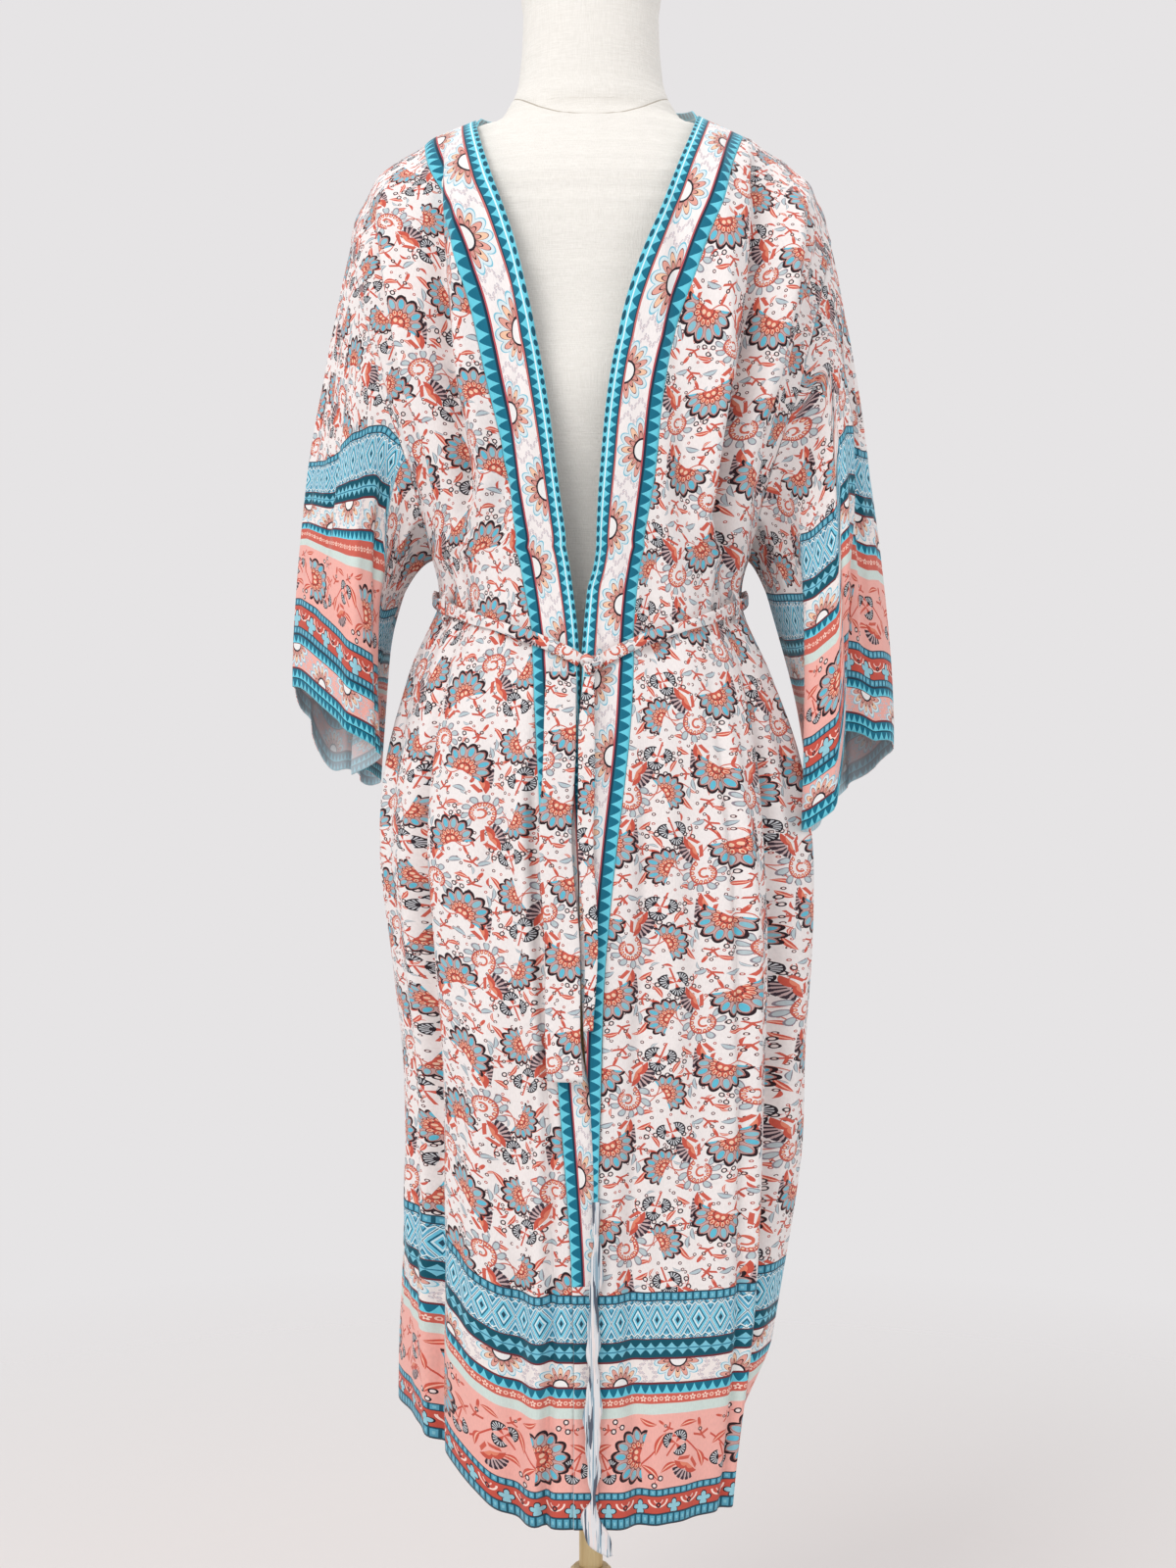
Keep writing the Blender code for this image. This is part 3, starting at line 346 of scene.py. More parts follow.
@functools.lru_cache(maxsize=4096)
def section(side, face, z):
    """A quarter of the coat's outline at one height: places from the middle to the side, x and y."""
    across = float(read(BODY, BODY_COLUMNS, side, z))
    deep = float(read(BODY, BODY_COLUMNS, face, z))
    narrow = max(0.0, float(read(BODY, BODY_COLUMNS, "narrow_" + side, z))) if face == "front" else 0.0
    opening = float(armhole_opening(z))
    last = math.acos(min(1.0, (opening / deep) ** (1 / ROUNDNESS)))
    turn = np.linspace(0.0, last, SECTION_SAMPLES)
    x = across * np.sin(turn) ** ROUNDNESS * (1 - narrow * np.cos(turn) ** 1.2)
    y = deep * np.cos(turn) ** ROUNDNESS
    y[-1] = opening
    length = np.concatenate([[0], np.cumsum(np.hypot(np.diff(x), np.diff(y)))])
    share = length / length[-1]
    out_x, out_y = x / across**2, y / deep**2
    size = np.hypot(out_x, out_y)
    off = fold_offset(side, face, share, z)
    # At the side the fold fades out, so that the front and back meet at the side seam.
    off = off * ease(1.0, 0.93, share) if z < UNDERARM_Z else off
    x = x + off * out_x / size * ease(0.0, 0.04, share)
    y = y + off * out_y / size
    return share, SIDE_SIGN[side] * x, FACE_SIGN[face] * y


def form_row(side, face, level, share):
    """Points of the coat's form along one row. Level 0 is the hem, 1 the chest and 2 the shoulder seam.

    Above the chest each point may have its own level. Also gives the x of the plain outline below the
    points, that outline's height, and how far the points have risen from it to the seam, as a share.
    """
    share = np.asarray(share, float)
    level = np.broadcast_to(np.asarray(level, float), share.shape)
    z = HEM_Z + (CHEST_Z - HEM_Z) * float(min(level[0], 1.0))
    known, x, y = section(side, face, z)
    x = np.interp(share, known, x)
    y = np.interp(share, known, y)
    turn = np.clip(level - 1.0, 0.0, 1.0) * math.pi / 2
    rise = np.sin(turn)
    top_x = SIDE_SIGN[side] * read(SHOULDER, SHOULDER_COLUMNS, "x", share)
    top_z = read(SHOULDER, SHOULDER_COLUMNS, face + "_z", share)
    points = [x + (top_x - x) * rise, y * np.cos(turn), z + (top_z - CHEST_Z) * rise]
    return np.stack(points, axis=1), x, z, rise


def surface_row(side, face, level, share):
    """Points of the coat's form along one row."""
    return form_row(side, face, level, share)[0]


def surface_point(side, face, level, share):
    """One point of the coat's form."""
    return surface_row(side, face, level, [share])[0]


def level_of(z):
    """The level of a height at or below the chest."""
    return (z - HEM_Z) / (CHEST_Z - HEM_Z)


@functools.lru_cache(maxsize=4096)
def share_at(side, level, column_name):
    """Where a band edge crosses a row of the front, as a share of the way to the side."""
    shares = np.linspace(0.0, 0.9, 181)
    points = surface_row(side, "front", level, shares)
    past = np.abs(points[:, 0]) - read(BAND, BAND_COLUMNS, column_name, points[:, 2])
    i = int(np.argmax(past > 0))
    if i == 0:
        return 0.0
    return float(np.interp(0.0, past[i - 1 : i + 1], shares[i - 1 : i + 1]))


def grid_normals(grid):
    """Outward normals of a grid of points, from its rows and columns."""
    along = np.gradient(grid, axis=0)
    across = np.gradient(grid, axis=1)
    normal = np.cross(across, along)
    return normal / np.maximum(np.linalg.norm(normal, axis=2, keepdims=True), 1e-12)


def normals_toward(grid, direction):
    """Normals of a grid of points, on the side that a direction points to."""
    normals = grid_normals(grid)
    return normals if (normals * direction).sum() >= 0 else -normals


def closed_mesh(name, points, faces):
    """A mesh whose faces all point out."""
    mesh = bpy.data.meshes.new(name)
    mesh.from_pydata([tuple(map(float, p)) for p in points], [], faces)
    bm = bmesh.new()
    bm.from_mesh(mesh)
    bmesh.ops.recalc_face_normals(bm, faces=bm.faces)
    bm.to_mesh(mesh)
    bm.free()
    return mesh


def ring_faces(rows, columns, closed=False):
    """Faces between rings of points, with a lid at both ends unless the last ring meets the first."""
    faces = []
    for i in range(rows if closed else rows - 1):
        this, following = i * columns, (i + 1) % rows * columns
        for j in range(columns):
            k = (j + 1) % columns
            faces.append((this + j, this + k, following + k, following + j))
    if not closed:
        faces.append(tuple(range(columns))[::-1])
        faces.append(tuple(range((rows - 1) * columns, rows * columns)))
    return faces


def set_print(mesh, cloth_uv, field_uv, reverse):
    """Gives a mesh its cloth and field coordinates, point by point, and the mark on its reverse."""
    corner = np.empty(len(mesh.loops), np.int32)
    mesh.loops.foreach_get("vertex_index", corner)
    for layer, flat in (("cloth", cloth_uv), ("field", field_uv)):
        uv = mesh.uv_layers.get(layer) or mesh.uv_layers.new(name=layer)
        uv.data.foreach_set("uv", flat[corner].astype(np.float32).ravel())
    mark = mesh.attributes.new("reverse", "FLOAT", "POINT")
    mark.data.foreach_set("value", np.broadcast_to(reverse, len(mesh.vertices)).astype(np.float32))


def add_object(name, data):
    """Puts a mesh, lamp or camera into the scene."""
    obj = bpy.data.objects.new(name, data)
    bpy.context.scene.collection.objects.link(obj)
    return obj


def add_smooth(name, mesh, material):
    """Puts a smooth mesh of one material into the scene."""
    mesh.materials.append(material)
    mesh.shade_smooth()
    return add_object(name, mesh)


def body_levels():
    """Rows of the body panels, with one just at the underarm."""
    heights = np.concatenate([
        np.linspace(HEM_Z, 0.88, 11, endpoint=False),
        np.linspace(0.88, UNDERARM_Z, 8, endpoint=False),
        np.linspace(UNDERARM_Z, CHEST_Z, 6),
    ])
    return list(level_of(heights)) + list(np.linspace(1.0, 2.0, 6)[1:])


def trimmed(level):
    """The last row stops just short of the shoulder seam."""
    return level if level < 2.0 else 2.0 - SEAM / (0.14 * math.pi / 2)


def smooth_ring(table, columns, at):
    """Reads a cuff table at any places round the ring, which closes on itself."""
    share = column(table, columns, "share")
    share = np.concatenate([share[-3:] - 1, share, share[:3] + 1])
    points = []
    for name in columns[1:]:
        values = column(table, columns, name)
        values = np.concatenate([values[-3:], values, values[:3]])
        points.append(curve_through(np.asarray(at), share, values))
    return np.stack(points, axis=1)


def armhole_edge(side):
    """The armhole's edge, from the underarm up the front panel, over the shoulder and down the back.

    Gives the places round it, the edge, and points a little way inside it on the panels. Between two rows
    of the panels the edge is straight, so one more point is put in the middle.
    """
    levels = [trimmed(level) for level in body_levels() if level >= level_of(UNDERARM_Z) - 1e-9]
    edge, inside = [], []
    for share, points in ((1.0 - SIDE_TRIM, edge), (0.97, inside)):
        front = [surface_point(side, "front", level, share) for level in levels]
        back = [surface_point(side, "back", level, share) for level in levels]
        points += front + back[::-1]
    top = len(levels)

    def with_middles(points):
        points = np.array(points)
        halves = []
        for half in (points[:top], points[top:]):
            full = np.empty((2 * top - 1, 3))
            full[::2] = half
            full[1::2] = (half[1:] + half[:-1]) / 2
            halves.append(full)
        # The two panels' corners at the shoulder seam count as one point.
        corner = (halves[0][-1:] + halves[1][:1]) / 2
        return np.concatenate([halves[0][:-1], corner, halves[1][1:]])

    edge, inside = with_middles(edge), with_middles(inside)
    length = lengths(edge)
    middle = 2 * top - 2
    place = np.where(
        np.arange(len(edge)) <= middle,
        0.5 * length / length[middle],
        0.5 + 0.5 * (length - length[middle]) / (length[-1] - length[middle]),
    )
    return place, edge, inside


def belt_path(side, face, shares, off):
    """Points along the belt on one face of the waist, outside the cloth."""
    points = []
    for share in shares:
        z = float(belt_height(face, share))
        places = [max(share - 0.02, 0.0), share, min(share + 0.02, 1.0)]
        near = surface_row(side, face, level_of(z), places)
        out = np.array([near[2][1] - near[0][1], near[0][0] - near[2][0], 0.0])
        out /= np.linalg.norm(out)
        if out[:2] @ near[1][:2] < 0:
            out = -out
        points.append(near[1] + out * off)
    return np.array(points)


def belt_line(side):
    """Half of the belt's middle line, with the directions up and out at each point."""
    front = belt_path(side, "front", np.linspace(BELT_START, 1.0, 22), 0.0)
    back = belt_path(side, "back", np.linspace(1.0, 0.0, 18)[1:], 0.0)
    path = np.concatenate([front, back])
    # A belt under tension bridges the furrows, so its path is smoothed and kept clear of the cloth.
    flat = path[:, :2].copy()
    radius = np.linalg.norm(flat, axis=1)
    for _ in range(3):
        wide = np.convolve(np.pad(radius, 2, mode="edge"), np.ones(5) / 5, mode="valid")
        radius = np.maximum(radius, wide)
    path[:, :2] = flat / np.linalg.norm(flat, axis=1)[:, None] * radius[:, None]
    path[-1, 0] = SIDE_SIGN[side] * SEAM
    along = unit(np.gradient(path, axis=0))
    out = unit(np.cross(along, UPWARD))
    out[(out * path).sum(axis=1) < 0] *= -1
    up = np.cross(out, along)
    up[up[:, 2] < 0] *= -1
    return path + out * (BELT_OFF + BELT_THICK / 2), up, out


def coat_inside(z, angles):
    """How far the coat's form lies from the axis above the chest, at angles round it from the front."""
    reach = np.zeros(len(angles))
    shares = np.linspace(0.0, 1.0, 300)
    for side in ("right", "left"):
        for face in ("front", "back"):
            known, x0, y0 = section(side, face, CHEST_Z)
            x0 = np.interp(shares, known, x0)
            y0 = np.interp(shares, known, y0)
            top_x = SIDE_SIGN[side] * read(SHOULDER, SHOULDER_COLUMNS, "x", shares)
            top_z = read(SHOULDER, SHOULDER_COLUMNS, face + "_z", shares)
            rise = np.clip((z - CHEST_Z) / (top_z - CHEST_Z), 0.0, 1.0)
            x = x0 + (top_x - x0) * rise
            y = y0 * np.sqrt(1 - rise**2)
            turn = np.arctan2(np.abs(x), np.abs(y))
            under = top_z > z
            x, y = x[under], y[under]
            turn = turn[under]
            own = np.sign(np.sin(angles)) * SIDE_SIGN[side] >= 0
            own &= np.sign(-np.cos(angles)) * FACE_SIGN[face] >= 0
            wanted = np.arctan2(np.abs(np.sin(angles[own])), np.abs(np.cos(angles[own])))
            reach[own] = np.interp(wanted, turn, np.hypot(x, y))
    return reach


def form_rings():
    """Sections of the dress form from its underside to the top of its neck."""
    # The points lie closer together at the sides, where the shoulders end.
    spaced = np.linspace(0, 2 * math.pi, FORM_STEPS, endpoint=False)
    angles = spaced + 0.16 * np.sin(2 * spaced)
    heights = [row[0] for row in FORM if row[0] < 1.3]
    heights += list(np.linspace(1.300, 1.410, 10))
    rings = []
    for z in heights:
        side, front, back = (float(read(FORM, FORM_COLUMNS, name, z)) for name in FORM_COLUMNS[1:])
        rings.append(form_ring(z, side, front, back, angles))
    for row in NECK:
        rings.append(form_ring(*row, angles))
    return rings


def form_ring(z, side, front, back, angles):
    """One level ring of the dress form, kept inside the coat's shoulders."""
    deep = np.where(np.cos(angles) > 0, front, back)
    wide_part = np.abs(np.sin(angles) / side) ** FORM_POWER
    deep_part = np.abs(np.cos(angles) / deep) ** FORM_POWER
    reach = 1 / (wide_part + deep_part) ** (1 / FORM_POWER)
    if CHEST_Z + 0.01 < z < NECK[0][0]:
        reach = np.minimum(reach, coat_inside(z + FORM_RISE, angles) - FORM_SLACK)
    return np.stack([reach * np.sin(angles), -reach * np.cos(angles), np.full(len(angles), z)], axis=1)


NECK_SEAM_Z = 1.398      # the form's seam round the neck, at the middle of the front
NECK_SEAM_CURVE = 6.6    # how fast it rises to the sides


class Value:
    """A number or colour in a material, as a socket of its node tree. Arithmetic on it adds nodes."""

    def __init__(self, tree, socket):
        self.tree = tree
        self.socket = socket

    def math(self, operation, *others, clamp=False):
        node = self.tree.nodes.new("ShaderNodeMath")
        node.operation = operation
        node.use_clamp = clamp
        for place, item in zip(node.inputs, (self, *others)):
            feed(self.tree, place, item)
        return Value(self.tree, node.outputs[0])

    def __add__(self, other):
        return self.math("ADD", other)

    def __sub__(self, other):
        return self.math("SUBTRACT", other)

    def __mul__(self, other):
        return self.math("MULTIPLY", other)

    def __truediv__(self, other):
        return self.math("DIVIDE", other)

    def above(self, other):
        return self.math("GREATER_THAN", other)

    def below(self, other):
        return self.math("LESS_THAN", other)

    def most(self, other):
        return self.math("MAXIMUM", other)

    def size(self):
        return self.math("ABSOLUTE")

    def wave(self):
        return self.math("SINE")

    def cosine(self):
        return self.math("COSINE")

    def root(self):
        return self.math("SQRT")

    def part(self):
        return self.math("FRACT")

    def whole(self):
        return self.math("FLOOR")

    def squared(self):
        return self.math("MULTIPLY", self)

    def flip(self):
        """1 minus this."""
        return self.math("MULTIPLY_ADD", -1.0, 1.0)

    def times_plus(self, times, plus):
        return self.math("MULTIPLY_ADD", times, plus)

    def near(self, place, reach):
        """1 within a reach of a place."""
        return (self - place).size().below(reach)


def feed(tree, place, item):
    """Sets an input of a node to a number or a screen colour, or links a value to it."""
    if isinstance(item, Value):
        tree.links.new(item.socket, place)
    elif isinstance(item, tuple):
        place.default_value = linear(*item)
    else:
        place.default_value = item


def mixed(tree, share, low, high, blend="MIX"):
    """A colour between two others, or blended from them in another way."""
    node = tree.nodes.new("ShaderNodeMix")
    node.data_type = "RGBA"
    node.blend_type = blend
    feed(tree, node.inputs[0], share)
    feed(tree, node.inputs[6], low)
    feed(tree, node.inputs[7], high)
    return Value(tree, node.outputs[2])


def parts_of(tree, vector):
    """The three parts of a vector."""
    split = tree.nodes.new("ShaderNodeSeparateXYZ")
    feed(tree, split.inputs[0], vector)
    return [Value(tree, part) for part in split.outputs]


def object_place(tree):
    """Places in a piece's own axes."""
    return Value(tree, tree.nodes.new("ShaderNodeTexCoord").outputs["Object"])


def uv_place(tree, layer):
    """Places in one layer of the cloth's coordinates."""
    node = tree.nodes.new("ShaderNodeUVMap")
    node.uv_map = layer
    return Value(tree, node.outputs[0])


def noise(tree, place, scale, detail, stretch=None, distortion=0.0):
    """Noise at a place, which may first be multiplied along its axes."""
    if stretch is not None:
        scaled = tree.nodes.new("ShaderNodeVectorMath")
        scaled.operation = "MULTIPLY"
        scaled.inputs[1].default_value = stretch
        feed(tree, scaled.inputs[0], place)
        place = Value(tree, scaled.outputs[0])
    node = tree.nodes.new("ShaderNodeTexNoise")
    node.inputs["Scale"].default_value = scale
    node.inputs["Detail"].default_value = detail
    node.inputs["Distortion"].default_value = distortion
    feed(tree, node.inputs["Vector"], place)
    return Value(tree, node.outputs[0])


def new_material(name, settings):
    """A new material with its node tree and its shader, and the shader's plain settings."""
    material = bpy.data.materials.new(name)
    material.use_nodes = True
    tree = material.node_tree
    shader = tree.nodes["Principled BSDF"]
    for place, value in settings.items():
        shader.inputs[place].default_value = value
    return material, tree, shader


def finish_material(tree, shader, colour, height, strength, depth):
    """Gives a shader its colour and a bump of its own height."""
    feed(tree, shader.inputs["Base Color"], colour)
    bump = tree.nodes.new("ShaderNodeBump")
    bump.inputs["Strength"].default_value = strength
    bump.inputs["Distance"].default_value = depth
    feed(tree, bump.inputs["Height"], height)
    tree.links.new(bump.outputs[0], shader.inputs["Normal"])


def linear(red, green, blue):
    """A colour given as 0 to 255 on screen, as the shader's linear values."""
    parts = []
    for part in (red, green, blue):
        part = part / 255
        parts.append(part / 12.92 if part <= 0.04045 else ((part + 0.055) / 1.055) ** 2.4)
    return (*parts, 1.0)


def cell(along, period):
    """The place in a repeat, from its middle."""
    return (along / period).part() * period - period / 2


def is_odd(number):
    """1 for the odd ones of whole numbers."""
    return (number * 0.5).part().size().above(0.25)


def distance(x, y):
    """The distance of a point from the middle."""
    return (x.squared() + y.squared()).root()


def around(x, y):
    """Angle from straight up, and distance, of a point."""
    return x.math("ARCTAN2", y), distance(x, y)


def in_sector(angle, step):
    """The angle from the middle of the equal sector that a place is in."""
    return (angle / step + 0.5).part() * step - step / 2


def turned(x, y, angle):
    """The point in axes turned by an angle in degrees."""
    c, s = math.cos(math.radians(angle)), math.sin(math.radians(angle))
    return x.times_plus(c, y * s), y.times_plus(c, x * -s)


GROUND = (238, 232, 230)
MILLIMETRES = 1000.0     # to a metre
THREAD_PITCH = 0.55      # millimetres
THREAD_RELIEF = 0.00003
CRUMPLE = 0.0011
REVERSE_PALER = 0.62     # how much of the print the reverse loses


class Layers:
    """Colours laid over each other. What they cover is kept where there is no ground."""

    def __init__(self, tree, ground=None):
        self.tree = tree
        self.colour = ground
        self.cover = None

    def fill(self, colour):
        """A ground everywhere, under what is laid later."""
        self.colour = colour
        self.cover = None

    def lay(self, mask, colour):
        """A colour inside a mask, over what is there."""
        if self.colour is None:
            self.colour = colour
            self.cover = mask
            return
        if self.cover is not None:
            self.cover = self.cover.most(mask)
        self.colour = mixed(self.tree, mask, self.colour, colour)


def motif(draw):
    """Makes a design's nodes once, as a group. Each call lays a copy of it, where a mask lets it."""
    made = []

    def lay_copy(layers, *numbers, where=None):
        if not made:
            made.append(motif_group(draw, len(numbers)))
        node = layers.tree.nodes.new("ShaderNodeGroup")
        node.node_tree = made[0]
        for place, number in zip(node.inputs, numbers):
            feed(layers.tree, place, number)
        cover = Value(layers.tree, node.outputs["cover"])
        if where is not None:
            cover = cover * where
        layers.lay(cover, Value(layers.tree, node.outputs["colour"]))

    return lay_copy


def motif_group(draw, count):
    """The node group of a design: its numbers in, its cover and colour out."""
    tree = bpy.data.node_groups.new(draw.__name__, "ShaderNodeTree")
    for place in range(count):
        tree.interface.new_socket(f"number {place}", in_out="INPUT", socket_type="NodeSocketFloat")
    tree.interface.new_socket("cover", in_out="OUTPUT", socket_type="NodeSocketFloat")
    tree.interface.new_socket("colour", in_out="OUTPUT", socket_type="NodeSocketColor")
    start = tree.nodes.new("NodeGroupInput")
    end = tree.nodes.new("NodeGroupOutput")
    layers = Layers(tree)
    draw(layers, *[Value(tree, start.outputs[place]) for place in range(count)])
    feed(tree, end.inputs["cover"], 1.0 if layers.cover is None else layers.cover)
    feed(tree, end.inputs["colour"], layers.colour)
    return tree


def scatter(tree, x, y):
    """Three even random numbers of a cell."""
    join = tree.nodes.new("ShaderNodeCombineXYZ")
    feed(tree, join.inputs[0], x)
    feed(tree, join.inputs[1], y)
    even = tree.nodes.new("ShaderNodeTexWhiteNoise")
    even.noise_dimensions = "2D"
    tree.links.new(join.outputs[0], even.inputs["Vector"])
    return parts_of(tree, Value(tree, even.outputs["Color"]))


def lobes(angle, step):
    """Which lobe of a flower a place is in, and how far it is from that lobe's middle, up to 0.5."""
    place = angle / step + 0.5
    return place.whole(), (place.part() - 0.5).size()


@motif
def fan(layers, x, y, reach):
    """A fan flower that opens upwards: grey scalloped petals with blue eyes over a coral heart."""
    tree = layers.tree
    angle, far = around(x, y)
    number, edge = lobes(angle, 0.44)
    outline = (angle * 0.62).cosine().times_plus(0.36, 0.66) * reach
    outline = outline * (edge * edge).times_plus(-0.70, 1.0)
    ratio = far / outline
    inside = ratio.below(1.0) * angle.size().below(1.76)
    layers.lay(inside, (44, 26, 32))
    layers.lay(ratio.below(0.88) * angle.size().below(1.66) * inside, (200, 164, 160))
    petal = (edge * 2.75).squared() + ((ratio - 0.69) * 5.0).squared()
    layers.lay(petal.near(1.0, 0.18) * inside, (168, 110, 104))
    odd = is_odd(number)
    layers.lay(petal.below(0.66) * inside, mixed(tree, odd, (96, 188, 212), (136, 190, 204)))
    layers.lay(ratio.below(0.49) * inside, (204, 92, 76))
    bead = ((ratio - 0.40) * 9.0).squared() + (edge * 3.2).squared()
    layers.lay(bead.near(0.60, 0.32) * inside, (240, 200, 172))
    layers.lay(ratio.near(0.49, 0.02) * inside, (110, 50, 52))
    layers.lay(ratio.near(0.28, 0.02) * inside, (120, 52, 54))
    eye = distance(x.size() - reach * 0.09, y - reach * 0.13)
    layers.lay(eye.below(reach * 0.065), (242, 204, 176))


@motif
def trio(layers, x, y):
    """Three small dark fans with pale rays, round a coral sprig."""
    angle, far = around(x, y)
    sector = in_sector(angle, 1.85)
    px = far * sector.wave()
    py = far * sector.cosine() - 4.0
    turn, out = around(px, py)
    outline = turn.size().times_plus(-1.0, 7.4)
    shape = out.below(outline) * turn.size().below(1.4) * angle.size().below(2.75)
    rays = (turn * 2.6).part().near(0.5, 0.24) * out.below(outline - 1.0) * out.above(2.2)
    layers.lay(far.below(4.6) * sector.size().below(0.34), (206, 92, 76))
    layers.lay(shape, (40, 32, 40))
    layers.lay(rays * shape, (206, 210, 214))
    layers.lay(x.size().below(0.7) * y.near(-6.0, 6.0), (206, 96, 80))


@motif
def wreath(layers, x, y):
    """A curl of coral beads with grey leaves standing out from it."""
    angle, far = around(x, y)
    curl = far + angle * -0.9
    open_side = angle.below(2.1)
    bead = (angle * 2.3).part() - 0.5
    ring = distance(curl - 7.6, bead * 3.8)
    leaf_place = (angle * 1.6).part() - 0.5
    shape = ((curl - 12.6) / 3.8).squared() + (leaf_place * 3.0 + (curl - 12.6) * 0.12).squared()
    layers.lay(shape.below(1.0) * open_side, (140, 132, 142))
    layers.lay(shape.below(0.52) * open_side, (186, 200, 204))
    layers.lay(curl.near(9.2, 0.6) * open_side, (190, 96, 84))
    layers.lay(ring.below(1.6) * open_side, (200, 88, 74))
    layers.lay(ring.below(0.8) * open_side, (248, 206, 176))
    hook = far.near(3.4, 0.8) * angle.above(-1.2)
    layers.lay(hook, (212, 108, 88))


@motif
def thistle(layers, x, y):
    """A thistle head: a coral cup under dark bristles."""
    angle, far = around(x, y)
    spread = (angle * 3.1).part()
    bristle = spread.near(0.5, 0.24) * far.near(9.6, 3.2) * angle.size().below(0.95)
    tips = spread.near(0.5, 0.34) * far.near(12.0, 1.1) * angle.size().below(0.85)
    cup = far.below(angle.size().times_plus(5.4, 4.2)) * angle.size().below(1.35)
    layers.lay(far.near(9.0, 3.6) * angle.size().below(0.85), (196, 170, 170))
    layers.lay(bristle.most(tips), (62, 48, 58))
    layers.lay(cup, (200, 86, 70))
    layers.lay(cup * far.below(angle.size().times_plus(3.8, 1.8)), (226, 134, 108))
    leaves = (y + 5.0 + x.size() * -0.55).size().below(1.5) * x.size().below(9.0) * x.size().above(1.0)
    layers.lay(leaves, (206, 96, 80))


@motif
def lily(layers, x, y, reach):
    """A coral lily seen from the side: three pointed petals on a curved stalk with two narrow leaves."""
    angle, far = around(x, y)
    ray = (angle * 3.3).cosine()
    outline = ray.math("MAXIMUM", 0.0).math("POWER", 1.5) * (angle * 0.9).cosine() * reach
    petals = far.below(outline) * angle.size().below(1.45)
    stalk = (x - y * y * 0.035).size().below(0.75) * y.near(reach * -0.45, reach * 0.5)
    leaves = (y + reach * 0.52 + x.size() * -0.50).size().below(reach * 0.10)
    leaves = leaves * x.size().below(reach * 0.62)
    layers.lay(stalk, (198, 90, 76))
    layers.lay(leaves * y.below(0.0), (202, 92, 76))
    layers.lay(petals, (204, 90, 74))
    layers.lay(far.below(outline * 0.42) * petals, (228, 150, 130))
    layers.lay(far.below(reach * 0.17), (72, 40, 48))
    layers.lay(far.below(reach * 0.08), (240, 210, 200))


def leaf(name, wide, edge_colour, middle, middle_colour):
    """A pointed leaf along x, with a paler middle. wide and middle are shares of its length and width."""

    def draw(layers, x, y, long):
        along = x / long
        bent = y + along * along * (long * 0.22)
        width = (along * along).times_plus(-wide, wide) * long
        layers.lay(bent.size().below(width), edge_colour)
        layers.lay(bent.size().below(width * middle), middle_colour)

    draw.__name__ = name
    return motif(draw)


red_leaf = leaf("red_leaf", 0.30, (206, 90, 74), 0.22, (246, 190, 170))
grey_leaf = leaf("grey_leaf", 0.34, (132, 124, 134), 0.62, (184, 200, 206))


@motif
def berries(layers, x, y, size):
    """Three ringed berries on short red stalks."""
    angle, far = around(x, y)
    sector = in_sector(angle, 2.0944)
    px = far * sector.wave()
    py = far * sector.cosine() - size * 2.1
    out = distance(px, py)
    layers.lay(sector.size().below(0.22) * far.below(size * 1.6), (196, 80, 78))
    layers.lay(out.below(size * 1.12), (52, 38, 46))
    layers.lay(out.below(size * 0.62), (240, 226, 222))


@motif
def sprinkle(layers, x, y, period):
    """Small leaves, commas and berries, one in each cell, turned and moved at random."""
    tree = layers.tree
    across = x / period
    up = y / period
    one, two, three = scatter(tree, across.whole(), up.whole())
    lx = (across.part() - 0.5) * period + (one - 0.5) * (period * 0.3)
    ly = (up.part() - 0.5) * period + (two - 0.5) * (period * 0.3)
    turn = three * 6.2832
    c, s = turn.cosine(), turn.wave()
    px = lx * c + ly * s
    py = ly * c - lx * s
    long = period * 0.36
    along = px / long
    bent = (py + along * along * (long * 0.36)).size()
    kind = (one * 3.0 + two * 5.0).part()
    kept = (one * 7.0 + three * 3.0).part().below(0.40)
    width = (along * along).times_plus(-0.26, 0.26) * long * kept
    layers.lay(bent.below(width) * kind.below(0.62), (204, 92, 78))
    layers.lay(bent.below(width * 0.35) * kind.below(0.30), (246, 200, 184))
    layers.lay(bent.below(width) * kind.above(0.62), (158, 154, 162))
    layers.lay(bent.below(width * 0.5) * kind.above(0.62), (196, 210, 214))
    far = distance(px - long * 0.9, py + long * 0.55)
    layers.lay(far.below(period * 0.125), (84, 42, 48))
    layers.lay(far.below(period * 0.065), (242, 228, 224))
    near = distance(px + period * 0.26, py - period * 0.20)
    layers.lay(near.below(period * 0.105) * kept.below(0.5), (176, 84, 78))
    layers.lay(near.below(period * 0.05) * kept.below(0.5), (244, 226, 220))


def place_motifs(layers, x, y, table, high=1.0):
    """Lays the motifs of a table at their places, turned by their angles."""
    for draw, place_x, place_y, angle, *sizes in table:
        draw(layers, *turned(x - place_x, y - high * place_y, angle), *sizes)


@motif
def field(layers, u, v):
    """The all-over print of the body: flowers, curls and sprigs. Every second row is turned round."""
    tree = layers.tree
    wide, high = 90.0, 59.0
    row = (v / high).whole()
    odd = is_odd(row)
    shift = odd * (wide / 2) + (v * (math.pi / high)).wave() * 3.0
    x = ((u + shift) / wide).part() * wide - wide / 2
    y = (v / high).part() * high - high / 2
    x = x * odd.times_plus(-2.0, 1.0)
    layers.fill(GROUND)
    sprinkle(layers, u, v, 10.5)
    stem = (x * 0.14).wave() * 7.0 + (x * 0.05).wave() * 9.0
    layers.lay(y.near(stem, 0.5), (206, 108, 92))
    branch = (y * 0.12 + 1.0).wave() * 8.0 + 12.0
    layers.lay(x.near(branch, 0.45) * y.size().below(24.0), (200, 112, 98))
    place_motifs(layers, x, y, FIELD_MOTIFS)


